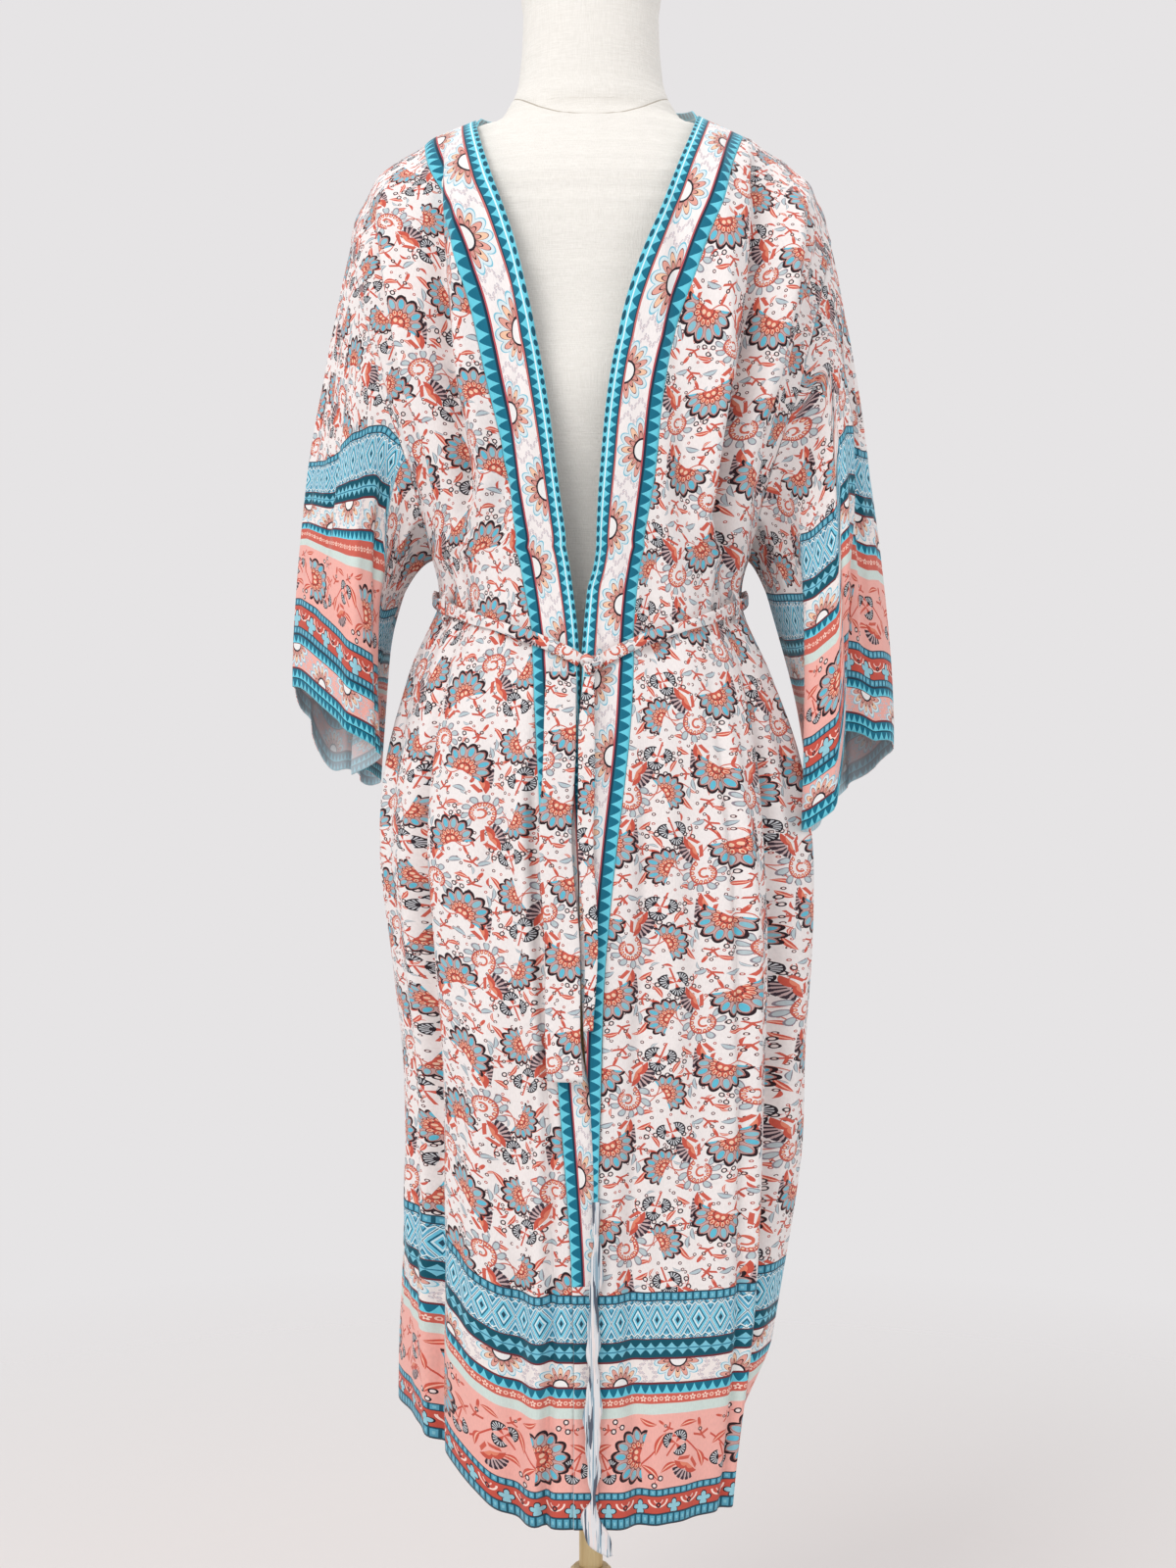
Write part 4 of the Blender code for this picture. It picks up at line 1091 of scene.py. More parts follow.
# Motifs of the all-over print: which, where in the repeat, how far turned, and the motif's own size
FIELD_MOTIFS = (
    (red_leaf, 40.0, 19.0, 60, 6.5),
    (red_leaf, 9.0, 25.0, 160, 5.5),
    (red_leaf, 38.0, -22.0, 30, 6.0),
    (red_leaf, -26.0, 23.0, 10, 6.0),
    (red_leaf, 31.0, -11.0, 120, 5.5),
    (grey_leaf, -2.0, -25.0, 20, 5.5),
    (grey_leaf, -23.0, -24.0, 15, 6.0),
    (grey_leaf, 43.0, 10.0, 100, 5.0),
    (grey_leaf, -43.0, 4.0, 80, 5.0),
    (berries, -22.0, 16.0, 10, 1.75),
    (berries, 7.0, -17.0, 40, 1.75),
    (berries, 35.0, -17.0, 75, 1.75),
    (berries, 22.0, -3.5, 15, 1.75),
    (berries, -40.0, -6.0, 50, 1.75),
    (wreath, -3.0, 14.5, -25),
    (thistle, -36.0, -19.0, 70),
    (thistle, 4.0, -6.0, -60),
    (lily, -11.0, -20.5, 20, 9.0),
    (lily, 38.5, -4.0, 75, 8.0),
    (lily, -36.0, 20.0, 40, 8.5),
    (trio, 19.5, -18.0, 12),
    (fan, 23.5, 10.5, -112, 17.0),
    (fan, -23.0, -10.5, 20, 22.5),
)


def teeth(along, period):
    """0 at the middle of each tooth and 1 between them."""
    return ((along / period).part() - 0.5).size() * 2.0


@motif
def scallops(layers, along, across, period):
    """A row of teal scallops on a light stripe. across runs from 0 at the scallops' foot to 1."""
    beat = teeth(along, period)
    layers.fill((104, 206, 226))
    layers.lay((beat.math("POWER", 1.6) * 0.84 + across * 1.08).below(1.0), (16, 108, 134))
    layers.lay(across.below(0.13), (22, 60, 80))


@motif
def double_scallops(layers, along, across, period):
    """Two facing rows of deep teal scallops with a light zigzag between."""
    beat = teeth(along, period)
    centre = (across - 0.5).size() * 2.0
    layers.fill((122, 196, 216))
    layers.lay(centre.above(beat.math("POWER", 1.4).times_plus(0.52, 0.10)), (10, 82, 100))
    layers.lay(centre.below(0.06), (46, 120, 148))
    layers.lay(centre.above(0.90), (110, 44, 50))


@motif
def squares(layers, along, across, period):
    """A row of small rounded squares between dark lines."""
    beat = ((along / period).part() - 0.5).size()
    tall = (across - 0.5).size()
    layers.fill((28, 88, 108))
    layers.lay(beat.most(tall * 1.05).below(0.35), (92, 168, 194))
    layers.lay(beat.most(tall * 1.05).below(0.14), (130, 196, 212))
    layers.lay(tall.above(0.43), (66, 46, 56))


@motif
def lattice(layers, along, up, high):
    """A turquoise band of interlaced pale diamonds with dark seeds and zigzag edges."""
    beat_x = teeth(along, 15.0)
    beat_y = ((up / high - 0.5).size() * 2.0)
    diamond = beat_x + beat_y
    other = teeth(along + 7.5, 15.0) + beat_y.flip()
    zigzag = beat_y - teeth(along, 5.0) * 0.16
    layers.fill((92, 172, 202))
    layers.lay(diamond.below(0.90), (116, 200, 224))
    layers.lay(diamond.near(0.98, 0.10), (222, 236, 240))
    layers.lay(diamond.near(0.98, 0.03), (34, 84, 104))
    layers.lay(diamond.near(0.60, 0.06), (30, 96, 122))
    layers.lay(diamond.near(0.44, 0.07), (222, 236, 240))
    layers.lay(diamond.below(0.20), (40, 74, 94))
    layers.lay(other.near(0.66, 0.06), (206, 228, 234))
    layers.lay(other.near(0.50, 0.05), (44, 96, 118))
    layers.lay(other.below(0.24), (226, 238, 240))
    layers.lay(zigzag.near(0.74, 0.035), (226, 238, 240))
    layers.lay(zigzag.near(0.80, 0.02), (36, 90, 110))


@motif
def rosettes(layers, along, up, high, pitch):
    """Half rosettes that stand on the two edges of a band by turns, with faint sprigs between."""
    tree = layers.tree
    place = along / pitch
    flip = is_odd(place.whole())
    x = (place.part() - 0.5) * pitch
    y = up + (high - up * 2.0) * flip
    angle, far = around(x, y)
    ratio = far / (high * 0.97)
    number, edge = lobes(angle, 0.449)
    tip = edge * edge
    sprig = x.size() - pitch * 0.41
    curl = (up * 0.42 + flip * 2.0).wave() * (pitch * 0.055)
    layers.lay(sprig.near(curl, 0.32), (206, 190, 194))
    beat = ((up / 3.3).part() - 0.5).size() * 3.3
    beside = (sprig - curl).size() - 1.35
    bead = (beat.squared() * 0.55 + beside.squared()).root()
    layers.lay(bead.below(0.80), (190, 182, 190))
    layers.lay(bead.below(0.38), (232, 224, 226))
    layers.lay(ratio.below(tip.times_plus(-0.9, 1.0)), (128, 194, 214))
    layers.lay(ratio.below(tip.times_plus(-0.9, 0.95)), (216, 230, 234))
    layers.lay(ratio.below(tip.times_plus(-1.6, 0.84)), (120, 64, 66))
    odd = is_odd(number)
    fill = mixed(tree, odd, (242, 198, 168), (226, 164, 150))
    layers.lay(ratio.below(tip.times_plus(-1.75, 0.81)) * edge.below(0.44), fill)
    layers.lay(ratio.below(tip.times_plus(-1.4, 0.60)), (58, 28, 36))
    layers.lay(ratio.below(tip.times_plus(-1.5, 0.55)) * edge.below(0.42), (214, 148, 138))
    layers.lay(ratio.below(0.37), (40, 28, 38))
    layers.lay(ratio.below(0.305), (240, 238, 236))


@motif
def florets(layers, along, up, high):
    """A coral ribbon with pale florets."""
    x = cell(along, 9.5)
    y = up - high / 2
    angle, far = around(x, y)
    layers.fill((206, 100, 86))
    layers.lay(far.below((angle * 2.5).cosine().size().times_plus(1.7, 0.8)), (250, 216, 200))
    layers.lay(far.below(0.7), (190, 70, 64))
    small = distance(x.size() - 4.75, y)
    layers.lay(small.near(1.2, 0.45), (244, 196, 180))


@motif
def rose_band(layers, along, y, high, period):
    """The wide pink band: large fan flowers on coral stems, with leaves, dark sprigs and berries."""
    x = cell(along, period)
    layers.fill((240, 178, 168))
    stem = (x * 0.085).wave() * (high * 0.24) + high * 0.46
    layers.lay(y.near(stem, 0.9), (202, 84, 70))
    place_motifs(layers, x, y, ROSE_MOTIFS, high)
    fan(layers, *turned(x + 8.0, y - high * 0.44, 84), high * 0.44)


# Motifs of the pink band. Their height is a share of the band's.
ROSE_MOTIFS = (
    (red_leaf, 0.0, 0.24, -40, 8.5),
    (red_leaf, 6.0, 0.62, 60, 9.5),
    (red_leaf, 14.0, 0.30, 20, 8.0),
    (red_leaf, 42.0, 0.34, -70, 8.0),
    (red_leaf, -40.0, 0.60, 30, 8.0),
    (red_leaf, 30.0, 0.86, 10, 7.0),
    (red_leaf, -2.0, 0.88, 160, 7.0),
    (lily, 40.0, 0.74, 10, 9.5),
    (lily, 12.0, 0.84, 50, 7.0),
    (lily, -38.0, 0.86, 70, 7.0),
    (thistle, 30.0, 0.30, 150),
    (trio, 20.0, 0.60, -40),
    (trio, -36.0, 0.30, 200),
    (berries, -28.0, 0.88, 20, 2.0),
    (berries, 3.0, 0.12, 50, 2.0),
)


@motif
def palmettes(layers, along, up, high):
    """A brick-red ribbon with blue palmettes between white arches."""
    period = 27.0
    x = cell(along, period)
    y = up - high / 2
    angle, far = around(x, y + high * 0.16)
    palm = (angle * 2.2).cosine().size() * (high * 0.24) + high * 0.17
    side_x = x.size() - period / 2
    arch = (side_x.squared() * 0.62 + (y - high * 0.30).squared() * 1.1).root()
    layers.fill((198, 84, 70))
    layers.lay(arch.near(high * 0.44, 0.6) * y.below(high * 0.30), (250, 222, 212))
    layers.lay(arch.near(high * 0.20, 0.4) * y.below(high * 0.30), (246, 206, 196))
    layers.lay(far.below(palm + 1.0), (46, 36, 46))
    layers.lay(far.below(palm), (150, 204, 218))
    layers.lay(distance(side_x, y).near(1.5, 0.6), (56, 40, 48))


def stretch(v, low, high):
    """The mask of a stretch, and how far into it, as a share and in millimetres."""
    into = v - low
    return v.above(low) * v.below(high), into / (high - low), into


RIBBONS = {"palmettes": palmettes, "florets": florets, "lattice": lattice}
# The borders of the hem and the cuffs: each band's two edges in millimetres, and its kind
HEM_PLAN = (
    (0.0, 9.5, "squares"),
    (9.5, 22.5, "palmettes"),
    (22.5, 28.5, "squares"),
    (28.5, 84.5, "roses"),
    (84.5, 92.5, "mint"),
    (92.5, 100.0, "florets"),
    (100.0, 108.0, "scallops"),
    (108.0, 127.0, "rosettes"),
    (127.0, 142.5, "double"),
    (142.5, 171.5, "lattice"),
    (171.5, 179.0, "squares"),
)
CUFF_PLAN = (
    (0.0, 8.0, "scallops"),
    (8.0, 16.0, "scallops"),
    (16.0, 37.0, "pink rosettes"),
    (37.0, 44.5, "scallops"),
    (44.5, 51.0, "squares"),
    (51.0, 68.5, "palmettes"),
    (68.5, 75.5, "squares"),
    (75.5, 135.5, "roses"),
    (135.5, 143.5, "mint"),
    (143.5, 156.5, "florets"),
    (156.5, 164.5, "scallops"),
    (164.5, 188.5, "rosettes"),
    (188.5, 205.5, "double"),
    (205.5, 238.5, "lattice"),
    (238.5, 245.5, "squares"),
)


def border(tree, u, v, ground, plan):
    """The bands of a border, by their plan. v is the distance from the edge and u runs along it."""
    layers = Layers(tree, ground)
    for low, high, kind in plan:
        inside, share, into = stretch(v, low, high)
        size = high - low
        if kind in RIBBONS:
            RIBBONS[kind](layers, u, into, size, where=inside)
        elif kind == "squares":
            squares(layers, u, share, 5.2, where=inside)
        elif kind == "roses":
            rose_band(layers, u, into, size, 96.0, where=inside)
        elif kind == "mint":
            layers.lay(inside, (208, 222, 216))
        elif kind == "scallops":
            scallops(layers, u, share.flip(), 6.8, where=inside)
        elif kind in ("rosettes", "pink rosettes"):
            pale = (240, 178, 168) if kind == "pink rosettes" else (240, 232, 228)
            layers.lay(inside, pale)
            rosettes(layers, u, into, size, 46.0, where=inside)
            layers.lay(v.near(low, 0.7).most(v.near(high, 0.7)), (120, 46, 52))
        elif kind == "double":
            double_scallops(layers, u, share, 8.0, where=inside)
    return layers.colour


@motif
def edge_stripes(layers, u, v):
    """The front band. u is the distance from its seam and v runs along it, in millimetres."""
    layers.fill((242, 236, 234))
    inside, _, into = stretch(u, 15.7, 42.0)
    rosettes(layers, v, into, 26.3, 60.0, where=inside)
    inside, _, _ = stretch(u, -9.0, 13.5)
    scallops(layers, v, (u / 13.5).flip(), 9.4, where=inside)
    layers.lay(u.near(14.8, 1.0), (190, 84, 90))
    layers.lay(u.near(13.5, 0.7), (20, 44, 66))
    layers.lay(u.near(42.4, 0.8), (200, 112, 108))
    inside, share, _ = stretch(u, 43.2, 51.0)
    scallops(layers, v, share, 7.6, where=inside)
    layers.lay(u.near(51.4, 0.6), (226, 244, 248))
    layers.lay(u.above(52.0), (104, 206, 226))
    dot = ((v / 7.6).part() - 0.5) * 7.6
    layers.lay(((u - 55.0).squared() + dot.squared() * 0.5).root().below(1.9), (18, 84, 106))


def cloth_material(name, design, relief=1.0):
    """Light printed cloth. The design makes a colour from the cloth's own coordinates in millimetres."""
    settings = {
        "Roughness": 0.82,
        "Sheen Weight": 0.18,
        "Sheen Roughness": 0.45,
        "Specular IOR Level": 0.25,
    }
    material, tree, shader = new_material(name, settings)
    cloth = uv_place(tree, "cloth")
    u, v = (part * MILLIMETRES for part in parts_of(tree, cloth)[:2])
    field_u, field_v = (part * MILLIMETRES for part in parts_of(tree, uv_place(tree, "field"))[:2])
    colour = design(tree, u, v, field_u, field_v)
    # The reverse shows the print faintly.
    mark = tree.nodes.new("ShaderNodeAttribute")
    mark.attribute_name = "reverse"
    colour = mixed(tree, Value(tree, mark.outputs["Fac"]) * REVERSE_PALER, colour, (206, 212, 216))
    # Slight unevenness of the ink and the yarn
    grain = noise(tree, cloth, 900.0, 2.0, stretch=(1.0, 0.35, 1.0))
    colour = mixed(tree, 1.0, colour, grain.times_plus(0.22, 0.89), "MULTIPLY")
    # The weave, and small unevenness of a soft cloth
    threads = (u * (2 * math.pi / THREAD_PITCH)).wave() * (v * (2 * math.pi / THREAD_PITCH)).wave()
    height = noise(tree, cloth, 55.0, 3.0) * (CRUMPLE * relief) + threads * THREAD_RELIEF
    finish_material(tree, shader, colour, height, 0.8, 1.0)
    material.diffuse_color = (0.8, 0.6, 0.6, 1.0)
    return material


def field_design(tree, u, v, field_u, field_v):
    """The all-over print alone."""
    layers = Layers(tree, GROUND)
    field(layers, field_u, field_v)
    return layers.colour


def body_design(tree, u, v, field_u, field_v):
    """The all-over print with the hem's border."""
    return border(tree, u, v, field_design(tree, u, v, field_u, field_v), HEM_PLAN)


def sleeve_design(tree, u, v, field_u, field_v):
    """The all-over print with the cuff's border."""
    return border(tree, u, v, field_design(tree, u, v, field_u, field_v), CUFF_PLAN)


def band_design(tree, u, v, field_u, field_v):
    """The front band's stripes."""
    layers = Layers(tree, GROUND)
    edge_stripes(layers, u, v)
    return layers.colour


def reverse_material(name):
    """The print's reverse where it shows at the turned edge: pale cloth with long grey-blue streaks, dark
    patches of painted shade, and paler patches of uneven tone.
    """
    settings = {"Roughness": 0.7, "Sheen Weight": 0.12, "Specular IOR Level": 0.3}
    material, tree, shader = new_material(name, settings)
    place = object_place(tree)
    streaks = noise(tree, place, 0.35, 2.0, stretch=(2600.0, 300.0, 34.0))
    shade_and_tone_patches = noise(tree, place, 0.35, 2.0, stretch=(900.0, 300.0, 60.0))
    weave = noise(tree, place, 0.35, 2.0, stretch=(5000.0, 5000.0, 5000.0))
    colour = mixed(tree, streaks.above(0.52), (224, 224, 226), (138, 164, 180))
    # Painted shade: dark patches stand for the shade in the twisted edge's folds, and the paler patches
    # are uneven tone
    colour = mixed(tree, shade_and_tone_patches.above(0.60), colour, (86, 92, 106))
    colour = mixed(tree, shade_and_tone_patches.below(0.40), colour, (232, 222, 220))
    finish_material(tree, shader, colour, weave, 0.5, 0.0004)
    return material


def linen_material(name):
    """Plain undyed linen: uneven threads both ways, and the seam round the neck."""
    settings = {"Roughness": 0.9, "Sheen Weight": 0.1, "Specular IOR Level": 0.2}
    material, tree, shader = new_material(name, settings)
    place = object_place(tree)
    upright = noise(tree, place, 1.0, 1.0, stretch=(1500.0, 1500.0, 90.0))
    level = noise(tree, place, 1.0, 1.0, stretch=(90.0, 90.0, 1500.0))
    weave = upright + level
    paler = weave.times_plus(1.6, -1.1).math("MAXIMUM", 0.0, clamp=True)
    colour = mixed(tree, paler, (229, 226, 219), (240, 237, 231))
    x, _, z = parts_of(tree, place)
    seam = (z - x.squared() * NECK_SEAM_CURVE).near(NECK_SEAM_Z, 0.0007)
    colour = mixed(tree, seam, colour, (186, 178, 166))
    finish_material(tree, shader, colour, weave, 0.7, 0.0005)
    return material


def wood_material(name):
    """Pale waxed wood with a straight grain."""
    material, tree, shader = new_material(name, {})
    grain = noise(tree, object_place(tree), 1.0, 4.0, stretch=(160.0, 160.0, 7.0), distortion=0.6)
    paler = grain.times_plus(2.2, -0.6).math("MAXIMUM", 0.0, clamp=True)
    colour = mixed(tree, paler, (196, 164, 108), (232, 210, 160))
    feed(tree, shader.inputs["Roughness"], grain.times_plus(0.25, 0.32))
    finish_material(tree, shader, colour, grain, 0.35, 0.0006)
    return material


# Creases of the worn cloth, as soft troughs (negative) and ridges. Each runs between two places: a share
# of the way from the middle to the side, and a height along the cloth. Width and depth are in metres.
# Columns: from_share, from_height, to_share, to_height, width, depth
CREASES = {
    ("right", "front"): (
        (0.158, 0.915, 0.155, 0.272, 0.0026, -0.0052),
        (0.190, 0.900, 0.188, 0.272, 0.0080, 0.0042),
        (0.235, 0.860, 0.260, 0.500, 0.0120, -0.0022),
        (0.575, 0.985, 0.590, 0.272, 0.0032, -0.0048),
        (0.615, 0.960, 0.640, 0.272, 0.0060, 0.0036),
        (0.46, 0.880, 0.43, 0.400, 0.0110, -0.0026),
        (0.74, 0.960, 0.70, 0.420, 0.0070, -0.0036),
        (0.86, 0.960, 0.78, 0.500, 0.0080, -0.0040),
        (0.33, 0.900, 0.36, 0.640, 0.0080, -0.0035),
        (0.30, 1.350, 0.42, 1.020, 0.0090, -0.0030),
        (0.44, 1.400, 0.56, 1.040, 0.0070, 0.0030),
        (0.56, 1.390, 0.62, 1.040, 0.0052, -0.0064),
        (0.70, 1.370, 0.80, 1.120, 0.0070, 0.0040),
        (0.80, 1.340, 0.84, 1.070, 0.0055, -0.0066),
        (0.36, 1.120, 0.70, 1.030, 0.0070, 0.0025),
    ),
    ("left", "front"): (
        (0.15, 0.900, 0.17, 0.300, 0.0070, -0.0050),
        (0.34, 0.900, 0.36, 0.480, 0.0110, -0.0024),
        (0.452, 0.960, 0.470, 0.272, 0.0034, -0.0046),
        (0.490, 0.940, 0.505, 0.272, 0.0064, 0.0036),
        (0.62, 0.990, 0.64, 0.300, 0.0042, -0.0054),
        (0.76, 0.980, 0.74, 0.500, 0.0090, 0.0040),
        (0.88, 0.960, 0.86, 0.560, 0.0080, -0.0040),
        (0.32, 1.340, 0.44, 1.030, 0.0090, -0.0030),
        (0.46, 1.390, 0.54, 1.040, 0.0080, 0.0035),
        (0.60, 1.380, 0.66, 1.010, 0.0050, -0.0072),
        (0.72, 1.360, 0.74, 1.060, 0.0080, 0.0050),
        (0.79, 1.350, 0.86, 1.060, 0.0052, -0.0070),
        (0.40, 1.100, 0.66, 1.040, 0.0060, -0.0022),
    ),
    ("right", "back"): (
        (0.10, 0.980, 0.14, 0.300, 0.0080, -0.0045),
        (0.30, 0.960, 0.32, 0.380, 0.0110, 0.0045),
        (0.50, 0.980, 0.50, 0.290, 0.0080, -0.0045),
        (0.70, 0.940, 0.70, 0.340, 0.0100, 0.0045),
        (0.90, 0.940, 0.88, 0.560, 0.0080, -0.0035),
        (0.20, 1.300, 0.28, 1.030, 0.0100, 0.0025),
        (0.44, 1.360, 0.46, 1.050, 0.0090, -0.0035),
        (0.66, 1.340, 0.72, 1.100, 0.0080, 0.0040),
        (0.88, 1.320, 0.90, 1.120, 0.0070, -0.0045),
    ),
    ("left", "back"): (
        (0.18, 0.970, 0.18, 0.320, 0.0090, -0.0045),
        (0.42, 0.960, 0.46, 0.290, 0.0100, 0.0045),
        (0.64, 0.960, 0.64, 0.400, 0.0080, -0.0045),
        (0.88, 0.950, 0.84, 0.480, 0.0090, 0.0035),
        (0.14, 1.280, 0.10, 1.030, 0.0100, -0.0025),
        (0.38, 1.350, 0.40, 1.040, 0.0090, 0.0035),
        (0.62, 1.340, 0.60, 1.070, 0.0080, -0.0040),
        (0.80, 1.330, 0.86, 1.110, 0.0070, 0.0040),
    ),
}
CREASE_STRENGTH = 1.7
CREASE_BOW = 0.006       # how far a crease bends from a straight line
CREASE_TO_HEM_Z = 0.31   # creases that start below this height run out at the hem
CLOTH_THICK = 0.0007
BAND_THICK = 0.0014      # folded double
BAND_CROWN = 0.0006      # how far the doubled band bulges
LEFT_BAND_LIFT = 0.0034  # how far the left band's edge stands off the right one's
QUARTER = 0.235          # a quarter of the coat's width, laid flat
SHOULDER_RISE = 0.240    # the cloth's length from the chest to the shoulder seam


def along_line(x, y, start, end):
    """Places beside a line: how far along it and how far across it they are, and the line's length."""
    run_x, run_y = end[0] - start[0], end[1] - start[1]
    long = math.hypot(run_x, run_y)
    x, y = x - start[0], y - start[1]
    return (x * run_x + y * run_y) / long, (x * run_y - y * run_x) / long, long


def crease_offset(side, face, share, height):
    """How far the creases move the cloth out, at places on one quarter of it."""
    off = np.zeros(np.broadcast(share, height).shape)
    for s0, h0, s1, h1, width, depth in CREASES[side, face]:
        along, across, long = along_line(share * QUARTER, height, (s0 * QUARTER, h0), (s1 * QUARTER, h1))
        part = np.clip(along / long, 0, 1)
        across = across + CREASE_BOW * np.sin(math.pi * part * 1.5 + s0 * 9)
        reach = ease(-0.01, 0.22 * long, along)
        if min(h0, h1) >= CREASE_TO_HEM_Z:
            reach = reach * ease(long + 0.02, long * 0.80, along)
        off += depth * reach * np.exp(-((across / (width * (1 + 0.5 * part))) ** 2))
    return off


def waist_gathers(side, face, share, z):
    """Fine pleats where the belt draws the cloth in."""
    phase = {"right": 0.4, "left": 1.7}[side] + {"front": 0.0, "back": 2.1}[face]
    away = z - belt_height(face, share)
    wave = np.sin(2 * math.pi * 8.5 * share + phase + 1.4 * np.sin(5.0 * share * math.pi + phase))
    wave += 0.6 * np.sin(2 * math.pi * 13.0 * share + 2 * phase)
    reach = np.exp(-((away / 0.045) ** 2)) * ease(0.16, 0.30, share)
    pinch = -0.0016 * np.exp(-((away / 0.010) ** 2))
    patch = 0.65 + 0.45 * np.sin(4.0 * math.pi * share + 3 * phase)
    return 0.0011 * patch * wave * reach + pinch


def soft_waves(side, face, share, height):
    """Faint long unevenness that no hanging cloth is without."""
    phase = {"right": 0.0, "left": 2.3}[side] + {"front": 0.7, "back": 4.0}[face]
    one = np.sin(31.0 * share + 4.0 * height + phase) * np.sin(11.0 * height + 2.0 * phase)
    two = np.sin(57.0 * share - 7.0 * height + 1.3 * phase) * np.sin(17.0 * height + phase)
    return 0.0008 * one + 0.0004 * two


def quarter_rows(side, face, levels, shares):
    """A fine grid of points of one quarter with its creases, and the height of each along the cloth.

    levels are the rows, or one list for each column above the chest. shares are the columns' places.
    """
    grid, heights = [], []
    for level, share in zip(levels, shares):
        share = np.asarray(share, float)
        level = np.broadcast_to(np.asarray(level, float), share.shape)
        points, x, z, rise = form_row(side, face, level, share)
        height = z + SHOULDER_RISE * np.clip(level - 1.0, 0.0, 1.0)
        off = crease_offset(side, face, share, height) + soft_waves(side, face, share, height)
        off = CREASE_STRENGTH * off * ease(1.0, 0.94 if z < UNDERARM_Z else 0.985, share)
        off = off * ease(2.0, 1.82, level)
        off = off + waist_gathers(side, face, share, z) * ease(1.0, 0.96, share)
        # The creases move the cloth out and, near the shoulder, up.
        out = np.stack([0.8 * x, points[:, 1], 0.35 * rise * np.abs(x)], axis=1)
        out /= np.maximum(np.linalg.norm(out, axis=1, keepdims=True), 1e-9)
        grid.append(points + out * off[:, None])
        heights.append(height)
    return np.array(grid), np.array(heights)


# How much higher the hem hangs along each front and along the back, from the middle to the side seam.
HEM_RISE_COLUMNS = ("share", "right_front", "left_front", "right_back", "left_back")
HEM_RISE = (
    (0.00, 0.000, 0.000, 0.030, 0.030),
    (0.30, 0.006, 0.000, 0.036, 0.026),
    (0.45, 0.028, 0.002, 0.044, 0.022),
    (0.62, 0.050, 0.006, 0.054, 0.018),
    (1.00, 0.066, 0.012, 0.066, 0.012),
)
HEM_FULL_RISE_Z = 0.45       # below this height the cloth is lifted as much as the hem
HEM_NO_RISE_Z = 0.95
HEM_DRAW_IN = {"right": 0.03, "left": 0.20}      # how much narrower the cloth is at the hem, as a share
HEM_DRAW_LOW = 0.295
HEM_DRAW_HIGH = 0.395


def hang_hem(side, face, grid, shares):
    """Lifts the hem towards the sides and draws it in there, with the cloth above following."""
    heights = grid[:, 0, 2].copy()
    share = np.asarray(shares[0])
    rise = read(HEM_RISE, HEM_RISE_COLUMNS, side + "_" + face, share)
    near_side = ease(0.40, 0.92, share) if face == "front" else ease(0.20, 0.92, share)
    low = heights < HEM_NO_RISE_Z
    out = grid.copy()
    for j in range(grid.shape[1]):
        z = heights[low] + rise[j] * ease(HEM_NO_RISE_Z, HEM_FULL_RISE_Z, heights[low])
        for k in (0, 1):
            out[low, j, k] = np.interp(z, heights, grid[:, j, k])
        out[low, j, 2] = z
    drawn = 1 - HEM_DRAW_IN[side] * near_side[None, :] * ease(HEM_DRAW_HIGH, HEM_DRAW_LOW, out[..., 2])
    out[..., 0] *= drawn
    return out


def fine_levels(steps=200):
    """Rows of the fine body panels."""
    low = np.linspace(0.0, 1.0, int(steps * 0.80), endpoint=False)
    high = np.linspace(1.0, trimmed(2.0), int(steps * 0.20) + 1)
    return np.concatenate([low, high])


def smoothed_share(side, levels, column_name):
    """Where a band edge runs, at each level, without steps."""
    values = np.array([share_at(side, level, column_name) for level in levels])
    if column_name == "left_seam":
        in_air = HEM_Z + (CHEST_Z - HEM_Z) * np.minimum(levels, 1.0)
        shift = read(LOW_SEAM, LOW_SEAM_COLUMNS, "left", np.minimum(in_air, LOW_SEAM[-1][0]))
        own = read(BAND, BAND_COLUMNS, "left_seam", in_air)
        values = values * np.where(in_air < LOW_SEAM[-1][0], shift / own, 1.0)
    for _ in range(3):
        values[1:-1] = (values[:-2] + 2 * values[1:-1] + values[2:]) / 4
    return values


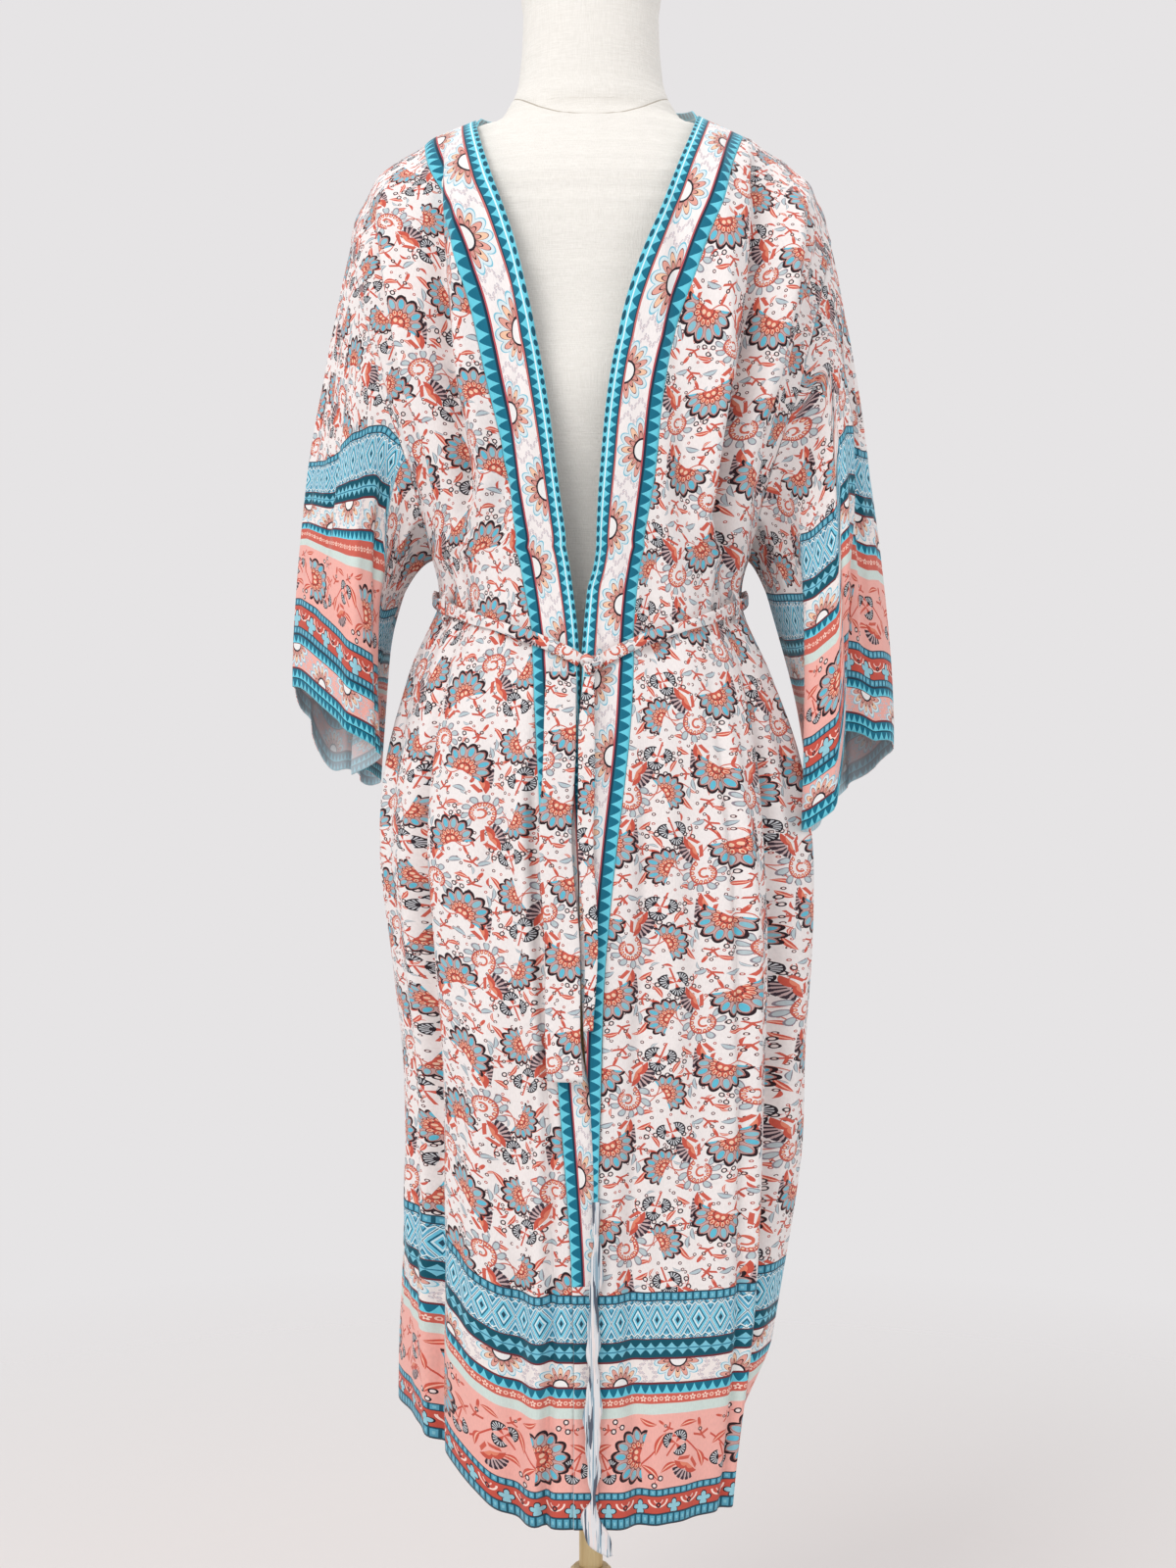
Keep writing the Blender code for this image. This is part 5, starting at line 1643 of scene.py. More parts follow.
def add_shell(name, grid, cloth_uv, field_uv, thickness, material, normals=None, closed=False, foot=None):
    """A thin closed shell of fine cloth with its cloth and field coordinates and a mark on its reverse.

    foot gives the first rows another print: how many rows, their cloth coordinates and the material.
    """
    if normals is None:
        normals = grid_normals(grid)
    outside = grid - grid.mean(axis=1 if closed else (0, 1), keepdims=True)
    if (normals * outside).sum() < 0:
        normals = -normals
    inner = grid - thickness * normals
    rows, columns = grid.shape[:2]
    behind = rows * columns
    index = np.arange(behind).reshape(rows, columns)
    a, b, c, d = index[:-1, :-1], index[:-1, 1:], index[1:, 1:], index[1:, :-1]
    front = np.stack([a, b, c, d], axis=-1).reshape(-1, 4)
    back = front[:, ::-1] + behind
    rim = np.concatenate([index[0], index[1:, -1], index[-1, -2::-1], index[-2:0:-1, 0]])
    following = np.roll(rim, -1)
    edge = np.stack([following, rim, rim + behind, following + behind], axis=-1)
    faces = np.concatenate([front, back, edge])
    # Faces point out when the grid's own turn agrees with its normals.
    i, j = rows // 2, columns // 2
    turn = np.cross(grid[i, j + 1] - grid[i, j], grid[i + 1, j] - grid[i, j])
    if turn @ normals[i, j] < 0:
        faces = faces[:, ::-1]
    mesh = bpy.data.meshes.new(name)
    mesh.vertices.add(2 * behind)
    points = np.concatenate([grid.reshape(-1, 3), inner.reshape(-1, 3)])
    mesh.vertices.foreach_set("co", points.astype(np.float32).ravel())
    mesh.loops.add(faces.size)
    mesh.loops.foreach_set("vertex_index", faces.ravel().astype(np.int32))
    mesh.polygons.add(len(faces))
    mesh.polygons.foreach_set("loop_start", np.arange(0, faces.size, 4, dtype=np.int32))
    mesh.update(calc_edges=True)

    def twice(flat):
        return np.concatenate([flat.reshape(-1, 2), flat.reshape(-1, 2)])

    set_print(mesh, twice(cloth_uv), twice(field_uv), np.repeat([0.0, 1.0], behind))
    obj = add_smooth(name, mesh, material)
    if foot is not None:
        foot_rows, foot_uv, foot_material = foot
        mesh.materials.append(foot_material)
        row_of = (faces % behind).min(axis=1) // columns
        in_foot = row_of < foot_rows
        mesh.polygons.foreach_set("material_index", in_foot.astype(np.int32))
        foot_flat = twice(foot_uv)[faces.ravel()]
        chosen = np.repeat(in_foot, 4)
        for layer in ("cloth", "field"):
            uv = mesh.uv_layers[layer]
            known = np.empty(faces.size * 2, np.float32)
            uv.data.foreach_get("uv", known)
            known = known.reshape(-1, 2)
            known[chosen] = foot_flat[chosen]
            uv.data.foreach_set("uv", known.ravel())
    return obj


def side_normals(grid, heights, columns):
    """Normals of a body panel, turned straight out along the given side columns below the underarm."""
    normals = normals_toward(grid, grid * (1.0, 1.0, 0.0))
    for column_index in columns:
        low = heights[:, column_index] < UNDERARM_Z
        normals[low, column_index, 1] = 0.0
        normals[low, column_index] /= np.linalg.norm(normals[low, column_index], axis=1, keepdims=True)
    return normals


def fine_front(side, material):
    """The fine front panel."""
    levels = fine_levels()
    start = smoothed_share(side, levels, side + "_seam") + BAND_TRIM * 0.3
    shares = [np.linspace(first, 1.0 - SIDE_TRIM, FRONT_POINTS) for first in start]
    grid, heights = quarter_rows(side, "front", levels, shares)
    grid = hang_hem(side, "front", grid, shares)
    u = np.array(shares) * QUARTER
    v = heights - HEM_Z
    step = np.linalg.norm(np.diff(grid, axis=1), axis=2)
    width = np.concatenate([np.zeros((len(levels), 1)), np.cumsum(step, axis=1)], axis=1) + u[:, :1]
    # Above the waist the print keeps its scale, so it follows the cloth's real width.
    print_u = u + (width * 0.92 - u) * ease(0.98, 1.26, heights)
    cloth_uv = np.stack([u, v], axis=-1)
    field_uv = np.stack([print_u + 0.013, v * -SIDE_SIGN[side] + 0.021], axis=-1)
    normals = side_normals(grid, heights, [FRONT_POINTS - 1])
    return add_shell("front_cloth_" + side, grid, cloth_uv, field_uv, CLOTH_THICK, material, normals)


def cushion(across):
    """How far a band folded double stands out, at places across it."""
    return BAND_CROWN * (1 - (2 * across - 1) ** 8)


def fine_band(side, material, foot_material):
    """The fine front band, slightly cushioned by its double fold. Below the knot its edge turns under."""
    levels = fine_levels()
    heights_in_air = HEM_Z + (CHEST_Z - HEM_Z) * np.minimum(levels, 1.0)
    edge = smoothed_share(side, levels, side + "_edge")
    seam = smoothed_share(side, levels, side + "_seam")
    reach = read(OVERLAP, OVERLAP_COLUMNS, side + "_past", heights_in_air) * (levels <= 1.0)
    if side == "left":
        past = (reach > 0) | (heights_in_air < KNOT_Z)
    else:
        past = heights_in_air < RIGHT_PAST_TOP
    edge = np.where(past, -reach / QUARTER, edge)
    for _ in range(4):
        edge[1:-1] = (edge[:-2] + 2 * edge[1:-1] + edge[2:]) / 4
    across = np.linspace(0.0, 1.0, BAND_POINTS)
    shares = np.array([a + (b - a) * across for a, b in zip(edge, seam)])
    grid, heights = quarter_rows(side, "front", levels, np.abs(shares))
    grid[..., 0] *= np.where(shares < 0, -1.0, 1.0)
    normals = normals_toward(grid, TO_FRONT)
    lift = np.zeros_like(shares)
    if side == "left":
        lift = LEFT_BAND_LIFT * ease(0.050, 0.012, shares) * (heights < 1.15)
    grid = grid + normals * (cushion(across)[None, :] + lift)[..., None]
    step = np.linalg.norm(np.diff(grid, axis=1), axis=2)
    from_seam = np.cumsum(step[:, ::-1], axis=1)[:, ::-1]
    from_seam = np.concatenate([from_seam, np.zeros((len(levels), 1))], axis=1)
    whole = from_seam[:, :1]
    knot_row = int(np.argmin(np.abs(heights_in_air - KNOT_Z)))
    turned_under = 0.002 if side == "left" else 0.0
    fit = BAND_WIDTH / (whole[knot_row, 0] + turned_under)
    scale = np.where(heights[:, :1] > KNOT_Z, BAND_WIDTH / whole, fit)
    v = heights - HEM_Z
    cloth_uv = np.stack([from_seam * scale, v + (0.03 if side == "left" else 0.0)], axis=-1)
    foot_rows = int(np.sum(heights[:, 0] < FOOT_TOP[side]))
    foot_uv = np.stack([np.abs(shares) * QUARTER, v], axis=-1)
    foot = (foot_rows, foot_uv, foot_material)
    name = "band_cloth_" + side
    return add_shell(name, grid, cloth_uv, cloth_uv, BAND_THICK, material, normals, foot=foot)


# How far the edge of each front reaches past the middle. A negative one stops short of it.
OVERLAP_COLUMNS = ("z", "left_past", "right_past")
OVERLAP = (
    (0.272, -0.0010, 0.0020),
    (0.480, -0.0010, 0.0040),
    (0.560, -0.0010, 0.0040),
    (0.600, 0.0010, 0.0010),
    (0.640, 0.0050, -0.0070),
    (0.700, 0.0075, -0.0085),
    (0.800, 0.0082, -0.0090),
    (0.900, 0.0082, -0.0095),
    (0.942, 0.0078, -0.0100),
    (0.980, 0.0055, -0.0114),
    (1.012, 0.0015, -0.0157),
    (1.040, -0.0020, -0.0200),
    (1.412, -0.0020, -0.0980),
)
RIGHT_PAST_TOP = 0.90    # above this height the right band keeps its own edge

# Where the left band's seam runs below the knot.
LOW_SEAM_COLUMNS = ("z", "left")
LOW_SEAM = (
    (0.272, 0.0050),
    (0.540, 0.0052),
    (0.600, 0.0073),
    (0.650, 0.0085),
    (0.700, 0.0104),
    (0.750, 0.0147),
    (0.800, 0.0200),
    (0.850, 0.0262),
    (0.900, 0.0312),
    (0.942, 0.0335),
)
BAND_WIDTH = 0.057
FOOT_TOP = {"right": 0.455, "left": 0.452}    # below this height the bands are wholly turned under


def fine_back(material):
    """The fine back panel, made of its two halves."""
    levels = fine_levels(180)
    halves, tall, places = [], [], []
    for side in ("right", "left"):
        corner = share_at(side, 2.0, side + "_seam") + NECK_TRIM
        turns = np.linspace(math.pi / 2, 0.0, 27)
        depth = 1.0 - NECK_SEAM_RISE + NECK_TRIM
        share = np.concatenate([corner * np.cos(turns), np.linspace(corner, 1.0 - SIDE_TRIM, 60)[1:]])
        top = np.concatenate([2.0 - depth * np.sin(turns), np.full(59, 2.0)])
        top = np.minimum(top, trimmed(2.0))
        rows = [a if a <= 1.0 else 1.0 + (a - 1.0) / (levels[-1] - 1.0) * (top - 1.0) for a in levels]
        grid, heights = quarter_rows(side, "back", rows, [share] * len(levels))
        grid = hang_hem(side, "back", grid, [share])
        across = np.tile(share * QUARTER * SIDE_SIGN[side], (len(levels), 1))
        order = slice(None, None, -1) if side == "right" else slice(1, None)
        halves.append(grid[:, order])
        tall.append(heights[:, order])
        places.append(across[:, order])
    grid, heights, u = (np.concatenate(parts, axis=1) for parts in (halves, tall, places))
    v = heights - HEM_Z
    cloth_uv = np.stack([u, v], axis=-1)
    field_uv = np.stack([u + 0.004, v + 0.013], axis=-1)
    # The two halves' middles agree, and the join is smoothed.
    middle = halves[0].shape[1] - 1
    for k in (middle - 1, middle, middle + 1):
        grid[:, k, 1] = (grid[:, k - 1, 1] + grid[:, k, 1] + grid[:, k + 1, 1]) / 3
    normals = side_normals(grid, heights, [0, grid.shape[1] - 1])
    return add_shell("back_cloth", grid, cloth_uv, field_uv, CLOTH_THICK, material, normals)


NECK_STAND = 0.013       # how much higher the neck band's edge stands behind the neck


def fine_neck(material):
    """The fine neck band."""
    turns = np.linspace(0.0, math.pi / 2, 61)
    across = np.linspace(0.0, 1.0, NECK_POINTS)
    grid = []
    for side, order in (("right", turns), ("left", turns[::-1][1:])):
        edge = share_at(side, 2.0, side + "_edge")
        seam = share_at(side, 2.0, side + "_seam")
        for turn in order:
            rise = NECK_RISE + (NECK_SEAM_RISE - NECK_RISE) * across
            level = np.minimum(2.0 - (1.0 - rise) * math.sin(turn), trimmed(2.0))
            share = (edge + (seam - edge) * across) * math.cos(turn)
            points, _ = quarter_rows(side, "back", [level], [share])
            grid.append(points[0])
    grid = np.array(grid)
    place = np.linspace(0.0, 1.0, len(grid))
    stand = NECK_STAND * ease(0.0, 0.09, place) * ease(1.0, 0.91, place)
    grid[..., 2] += stand[:, None] * ((1 - across) ** 1.5)[None, :]
    normals = normals_toward(grid, UPWARD)
    grid = grid + normals * cushion(across)[None, :, None]
    u = np.tile((1 - across) * BAND_WIDTH, (len(grid), 1))
    v = np.tile(lengths(grid[:, -1])[:, None], (1, NECK_POINTS))
    cloth_uv = np.stack([u, v], axis=-1)
    return add_shell("neck_cloth", grid, cloth_uv, cloth_uv, BAND_THICK, material, normals)


# Creases of the sleeves: places round the sleeve (0 and 1 are the underarm, 0.5 the top) and along it.
# Columns: from_round, from_along, to_round, to_along, width, depth
SLEEVE_CREASES = {
    "right": (
        (0.16, 0.15, 0.22, 1.05, 0.011, -0.0055),
        (0.24, 0.35, 0.30, 1.05, 0.012, 0.0050),
        (0.33, 0.10, 0.40, 0.90, 0.010, -0.0045),
        (0.46, 0.30, 0.47, 1.05, 0.009, 0.0035),
        (0.55, 0.12, 0.60, 1.05, 0.012, -0.0050),
        (0.68, 0.20, 0.70, 0.95, 0.011, 0.0045),
        (0.78, 0.10, 0.80, 1.05, 0.011, -0.0045),
        (0.10, 0.20, 0.20, 0.70, 0.008, 0.0030),
    ),
    "left": (
        (0.14, 0.12, 0.18, 1.05, 0.011, 0.0045),
        (0.22, 0.20, 0.31, 1.05, 0.010, -0.0060),
        (0.32, 0.15, 0.38, 1.05, 0.012, 0.0055),
        (0.42, 0.10, 0.46, 0.95, 0.010, -0.0045),
        (0.54, 0.25, 0.56, 1.05, 0.010, 0.0035),
        (0.62, 0.12, 0.66, 1.05, 0.012, -0.0050),
        (0.74, 0.20, 0.76, 0.95, 0.011, 0.0045),
        (0.84, 0.10, 0.86, 1.05, 0.010, -0.0045),
    ),
}
SLEEVE_ROUND = 0.56
SLEEVE_LONG = 0.42
SLEEVE_CREASE_BOW = 0.005
WAVES_FROM = 0.53        # the two waves behind the right cuff: where they start round the sleeve,
WAVES_LONG = 0.32        # how much of it they take,
WAVES_RISE = 0.0050      # half their height
WAVES_DEPTH = 0.0070     # and half their depth
# How much further from the cuff the cloth under the arm is
UNDERARM_LOWER = {"right": 0.112, "left": 0.048}

# The left sleeve's front fold: the cloth behind it hangs higher. Places run round from the underarm.
# Columns: place, rise
CUFF_FOLD = (
    (0.000, 0.000),
    (0.238, 0.000),
    (0.262, 0.050),
    (0.300, 0.050),
    (0.360, 0.034),
    (0.420, 0.016),
    (0.470, 0.000),
    (1.000, 0.000),
)
FOLD_LEAN = 0.045            # how much further round the fold lies at the cuff than at the armhole
INNER_SHIFT = 0.010          # how far the left sleeve's inner edge leans towards the body


def sleeve_crease_offset(side, along, at):
    """How far the creases move the sleeve's cloth out, at rows along it and places round it."""
    off = np.zeros((len(along), len(at)))
    px = np.tile(at * SLEEVE_ROUND, (len(along), 1))
    py = np.tile(along[:, None] * SLEEVE_LONG, (1, len(at)))
    for a0, l0, a1, l1, width, depth in SLEEVE_CREASES[side]:
        start, end = (a0 * SLEEVE_ROUND, l0 * SLEEVE_LONG), (a1 * SLEEVE_ROUND, l1 * SLEEVE_LONG)
        way, across, long = along_line(px, py, start, end)
        across = across + SLEEVE_CREASE_BOW * np.sin(way * 14 + a0 * 20)
        reach = ease(-0.01, 0.35 * long, way)
        if l1 <= 1.0:
            reach = reach * ease(long + 0.01, long * 0.75, way)
        off += depth * reach * np.exp(-((across / width) ** 2))
    off += 0.0010 * np.sin(41 * at + 3.0)[None, :] * np.sin(9 * along + 1.0)[:, None]
    off *= ease(0.0, 0.12, along)[:, None]
    off *= (ease(0.0, 0.03, at) * ease(1.0, 0.97, at))[None, :]
    return off


def hang_cuff(side, grid, along, at):
    """Moves the cloth near a cuff: two waves behind on the right sleeve, a front fold on the left."""
    if side == "right":
        turns = 2 * math.pi * np.clip((at - WAVES_FROM) / WAVES_LONG, 0.0, 1.0) * 2
        near_cuff = ease(0.72, 1.0, along)[:, None]
        grid[..., 2] += WAVES_RISE * (1 - np.cos(turns))[None, :] * near_cuff
        grid[..., 1] += WAVES_DEPTH * np.sin(turns)[None, :] * near_cuff
    else:
        place = at[None, :] + FOLD_LEAN * (1 - along[:, None])
        known, rise = np.array(CUFF_FOLD).T
        grid[..., 2] += np.interp(place, known, rise) * ease(0.0, 0.30, along)[:, None]
        inner = ease(0.14, 0.02, at) + ease(0.86, 0.98, at)
        lean = np.sin(math.pi * np.minimum(along, 0.95) ** 0.8)
        grid[..., 0] -= INNER_SHIFT * inner[None, :] * lean[:, None]


def fine_sleeve(side, material):
    """The fine sleeve. Its cloth coordinates run up from the cuff, so the border follows its edge."""
    along = np.linspace(0.0, 1.0, SLEEVE_ROWS) ** 1.1
    at = np.linspace(0.0, 1.0, SLEEVE_POINTS)
    grid = sleeve_surface(side, along, at)
    outside = grid - grid.mean(axis=1, keepdims=True)
    grid = grid + normals_toward(grid, outside) * sleeve_crease_offset(side, along, at)[..., None]
    toward = unit(grid[:, 1] - grid[:, 0])
    backward = unit(grid[:, -2] - grid[:, -1])
    grid[:, 0] += toward * SEAM
    grid[:, -1] += backward * SEAM
    hang_cuff(side, grid, along, at)
    normals = normals_toward(grid, outside)
    normals[:, 0] = normals[:, -1] = unit(normals[:, 0] + normals[:, -1] - toward - backward)
    step = np.linalg.norm(np.diff(grid, axis=0), axis=2)
    from_cuff = np.concatenate([np.cumsum(step[::-1], axis=0)[::-1], np.zeros((1, SLEEVE_POINTS))])
    u = np.tile(at * SLEEVE_ROUND, (SLEEVE_ROWS, 1))
    under = ease(0.158, 0.144, at) + ease(0.842, 0.856, at)
    lower = UNDERARM_LOWER[side] * under[None, :] * ease(1.0, 0.45, along)[:, None]
    if side == "right":
        # The right sleeve's border bends up at the front and down towards the underarm.
        bent = 0.078 * ease(0.27, 0.46, at) * ease(0.70, 0.52, at) - 0.024 * ease(0.32, 0.20, at)
        lower = lower + bent[None, :] * ease(0.06, 0.26, from_cuff)
    cloth_uv = np.stack([u, from_cuff + lower], axis=-1)
    field_uv = np.stack([u + 0.02, from_cuff * -SIDE_SIGN[side] + 0.02], axis=-1)
    name = "sleeve_cloth_" + side
    return add_shell(name, grid, cloth_uv, field_uv, CLOTH_THICK, material, normals, closed=True)


def sleeve_surface(side, along, at):
    """The sleeve's form at any places round it, as its solid has it."""
    sign = SIDE_SIGN[side]
    known, edge, inner = armhole_edge(side)
    start = np.stack([np.interp(at, known, edge[:, k]) for k in range(3)], axis=1)
    inside = np.stack([np.interp(at, known, inner[:, k]) for k in range(3)], axis=1)
    for _ in range(6):
        inside[1:-1] = (inside[:-2] + inside[1:-1] + inside[2:]) / 3
    away = unit(start - inside)
    cuff = smooth_ring(CUFFS[side], CUFF_COLUMNS, at % 1.0)
    end = np.stack([sign * cuff[:, 0], -cuff[:, 1], cuff[:, 2]], axis=1)
    fall = np.tile([0.0, 0.0, -1.0], (len(at), 1))
    reach = np.linalg.norm(end - start, axis=1, keepdims=True)
    top = np.sin(math.pi * at)[:, None]
    under = np.abs(2 * at - 1)[:, None]
    # Under the arm the cloth first runs outward, clear of the hip.
    outward_first = away * (1 - under**6) + np.array([sign * 0.95, 0.0, -0.3]) * under**6
    bulge = np.stack([0 * at, -np.sin(2 * math.pi * at), 0 * at], axis=1)
    rows = []
    for t in along:
        rise = 3 * t**2 - 2 * t**3
        row = (
            start * (1 - rise)
            + end * rise
            + (t**3 - 2 * t**2 + t) * outward_first * (SLEEVE_START * (0.6 + 0.8 * top) + 0.3 * reach)
            + (t**3 - t**2) * fall * reach * 0.9
            + SLEEVE_SWELL * math.sin(math.pi * t) * bulge
        )
        rows.append(row + outward_first * SEAM * (1 - t))
    return np.array(rows)


def strip(name, path, across, out, width, thick, material, wave=0.0, seed=0.0):
    """A soft folded strip of cloth along a path, closed, with long wrinkles."""
    count = len(path)
    turn = np.linspace(0, 2 * math.pi, STRIP_POINTS, endpoint=False)
    shape_x = 0.5 * np.sign(np.cos(turn)) * np.abs(np.cos(turn)) ** 0.75
    shape_y = 0.5 * np.sign(np.sin(turn)) * np.abs(np.sin(turn)) ** 0.6
    along = lengths(path)
    width = np.broadcast_to(width, count)
    rings = []
    for i in range(count):
        ripple = wave * np.sin(3 * turn + seed + along[i] * 38)
        ripple = ripple + 0.6 * wave * np.sin(5 * turn - along[i] * 61 + seed)
        rings.append(
            path[i]
            + across[i] * (shape_x * width[i])[:, None]
            + out[i] * (shape_y * thick + ripple * np.abs(shape_y) * 2)[:, None]
        )
    mesh = closed_mesh(name, np.array(rings).reshape(-1, 3), ring_faces(count, STRIP_POINTS))
    around = np.tile(np.where(shape_y < 0, shape_x, 1.0 - shape_x), count)
    flat = np.stack([around * np.repeat(width, STRIP_POINTS), np.repeat(along, STRIP_POINTS)], axis=1)
    flat = flat + seed * 0.031
    set_print(mesh, flat, flat, 0.0)
    return add_smooth(name, mesh, material)


# The turned edge of the left front, from the hem up. The twist is in degrees.
TURN_COLUMNS = ("z", "x", "width", "twist")
TURN = (
    (0.2546, 0.0149, 0.0036, 20),
    (0.2615, 0.0088, 0.0135, 20),
    (0.2730, 0.0023, 0.0180, 15),
    (0.2846, -0.0008, 0.0150, 5),
    (0.2970, 0.0019, 0.0045, -30),
    (0.3190, 0.0015, 0.0080, -15),
    (0.3420, 0.0011, 0.0128, -5),
    (0.3730, 0.0015, 0.0108, 5),
    (0.4040, 0.0019, 0.0086, 10),
    (0.4420, 0.0017, 0.0078, 10),
    (0.4650, 0.0042, 0.0076, 10),
    (0.4960, 0.0038, 0.0062, 10),
    (0.5246, 0.0042, 0.0036, 10),
)
TURN_AHEAD = 0.0060      # how far the turned edge lies in front of the cloth
TURN_THICK = 0.0008


def turned_edge(material):
    """The left front's edge turned out at its foot, so that its reverse shows, pinched at the hem."""
    heights = np.linspace(TURN[0][0], TURN[-1][0], TURN_ROWS)
    x, width, twist = (read(TURN, TURN_COLUMNS, name, heights) for name in ("x", "width", "twist"))
    cloth_y = [surface_row("left", "front", max(level_of(z), 0.0), [0.02])[0, 1] for z in heights]
    ahead = np.array(cloth_y)
    twist = np.radians(twist)
    part = np.linspace(-0.5, 0.5, TURN_POINTS)
    grid = np.empty((TURN_ROWS, TURN_POINTS, 3))
    for j, p in enumerate(part):
        ripple = 0.0009 * np.sin(heights * 170 + p * 7) * (0.3 + abs(p))
        wave = 0.0011 * np.sin(heights * 120 + p * 2.4) + 0.0007 * np.sin(heights * 260 + p)
        bulge = 0.0015 * (1 - 4 * p * p)
        grid[:, j, 0] = x + wave + p * width * np.cos(twist)
        grid[:, j, 1] = ahead - TURN_AHEAD + p * width * np.sin(twist) * 0.6 + ripple - bulge
        grid[:, j, 2] = heights
    normals = normals_toward(grid, TO_FRONT)
    cloth_uv = np.stack(np.meshgrid(part * 0.02 + 0.02, heights - HEM_Z + 0.02), axis=-1)
    piece = add_shell("turned_edge", grid, cloth_uv, cloth_uv, TURN_THICK, material, normals)
    mark = np.ones(len(piece.data.vertices), np.float32)
    piece.data.attributes["reverse"].data.foreach_set("value", mark)
    return piece


def fine_belt(side, material):
    """The fine belt half: the solid's path with more points, narrow and drawn together."""
    lines = belt_line(side)
    known = lengths(lines[0])
    at = np.linspace(0, known[-1], 160)
    path, up, out = (
        np.stack([curve_through(at, known, rows[:, k]) for k in range(3)], axis=1) for rows in lines
    )
    width = BELT_HEIGHT * (0.74 + 0.07 * np.sin(at * 55) + 0.05 * np.sin(at * 131 + 1))
    thick = BELT_THICK * 1.15
    return strip("belt_cloth_" + side, path, unit(up), unit(out), width, thick, material, 0.00035, 1.0)


# The hanging ends of the belt
HANGING_COLUMNS = ("z", "x", "width", "ahead")
HANGING_RIGHT = (
    (0.9380, -0.0235, 0.0235, 0.1385),
    (0.9000, -0.0247, 0.0250, 0.1425),
    (0.8200, -0.0262, 0.0255, 0.1475),
    (0.7200, -0.0240, 0.0275, 0.1485),
    (0.6180, -0.0190, 0.0280, 0.1490),
)
HANGING_LEFT = (
    (0.9340, -0.0015, 0.0085, 0.1395),
    (0.9000, -0.0038, 0.0120, 0.1440),
    (0.8200, -0.0030, 0.0125, 0.1490),
    (0.7400, -0.0018, 0.0110, 0.1500),
    (0.6580, -0.0012, 0.0075, 0.1505),
)
HANGING = {"right": HANGING_RIGHT, "left": HANGING_LEFT}


def fine_tie(side, material):
    """A hanging end of the belt, folded flat, with a slow twist and soft waves."""
    table = HANGING[side][::-1]
    heights = np.linspace(table[-1][0], table[0][0], 90)
    x, width, ahead = (read(table, HANGING_COLUMNS, name, heights) for name in ("x", "width", "ahead"))
    sway = ease(0.0, 0.12, heights[0] - heights)
    x = x + 0.0016 * np.sin(heights * 37) * sway
    path = np.stack([x, -ahead, heights], axis=1)
    twist = np.radians(9) * np.sin(heights * 23 + (0 if side == "left" else 2)) * sway
    across = np.stack([np.cos(twist), np.sin(twist), 0 * twist], axis=1)
    out = np.stack([np.sin(twist), -np.cos(twist), 0 * twist], axis=1)
    seed = 2.0 if side == "left" else 3.0
    return strip("tie_cloth_" + side, path, across, out, width, BELT_THICK * 0.9, material, 0.0003, seed)


def fine_knot(material):
    """The knot: the belt crossed over and drawn through itself."""
    turn = np.linspace(0, 2 * math.pi, 90, endpoint=False)
    x = 0.0031 * (np.sin(turn) + 1.35 * np.sin(2 * turn))
    z = 0.0029 * (np.cos(turn) - 1.35 * np.cos(2 * turn))
    y = -0.0036 * np.sin(3 * turn)
    path = np.stack([x, y, z], axis=1) + np.array(KNOT_CENTRE)
    ahead = unit(np.roll(path, -1, axis=0) - np.roll(path, 1, axis=0))
    out = unit(np.stack([x, y - 0.006, z], axis=1))
    across = unit(np.cross(ahead, out))
    out = np.cross(across, ahead)
    shape = np.linspace(0, 2 * math.pi, KNOT_POINTS, endpoint=False)
    rings = []
    for i in range(len(path)):
        ripple = 1 + 0.10 * np.sin(4 * shape + 5 * turn[i])
        rings.append(
            path[i]
            + across[i] * (0.0038 * np.cos(shape) * ripple)[:, None]
            + out[i] * (0.0025 * np.sin(shape) * ripple)[:, None]
        )
    faces = ring_faces(len(path), KNOT_POINTS, closed=True)
    mesh = closed_mesh("knot_cloth", np.array(rings).reshape(-1, 3), faces)
    flat_u = np.tile(0.006 * np.cos(shape), len(path))
    flat = np.stack([flat_u, np.repeat(turn * 0.012, KNOT_POINTS)], axis=1) + 0.05
    set_print(mesh, flat, flat, 0.0)
    return add_smooth("knot_cloth", mesh, material)


def fine_form(material):
    """The dress form with a finer skin than its solid's."""
    rings = np.array(form_rings())
    heights = rings[:, 0, 2]
    near_seam = np.linspace(NECK_SEAM_Z - 0.001, 1.447, 40)
    even = np.linspace(heights[0], heights[-1], 130)
    fine = np.unique(np.concatenate([even, heights, near_seam]).round(5))
    count = rings.shape[1]
    at = np.linspace(0, count, 4 * count, endpoint=False)
    wide = np.array([np.stack([periodic(at, ring[:, k]) for k in range(2)], axis=1) for ring in rings])
    skin = np.empty((len(fine), len(at), 3))
    for k in range(2):
        for j in range(len(at)):
            skin[:, j, k] = curve_through(fine, heights, wide[:, j, k])
    skin[:, :, 2] = fine[:, None]
    # The open front, where the coat doesn't cover the form, is smoothed.
    open_front = ease(0.120, 0.075, np.abs(skin[..., 0])) * ease(0.01, -0.03, skin[..., 1])
    open_front *= ease(1.20, 1.27, skin[..., 2]) * ease(1.47, 1.42, skin[..., 2])
    soft = skin[..., :2].copy()
    for _ in range(60):
        soft[1:-1] = (soft[:-2] + 2 * soft[1:-1] + soft[2:]) / 4
    skin[..., :2] += (soft - skin[..., :2]) * open_front[..., None]
    seam_z = NECK_SEAM_Z + NECK_SEAM_CURVE * skin[..., 0] ** 2
    groove = 1 - 0.010 * np.exp(-(((skin[..., 2] - seam_z) / 0.0016) ** 2)) * (skin[..., 1] < 0.03)
    skin[..., :2] *= groove[..., None]
    mesh = closed_mesh("form", skin.reshape(-1, 3), ring_faces(*skin.shape[:2]))
    form = add_smooth("form", mesh, material)
    mesh.set_sharp_from_angle(angle=math.radians(50))
    return form


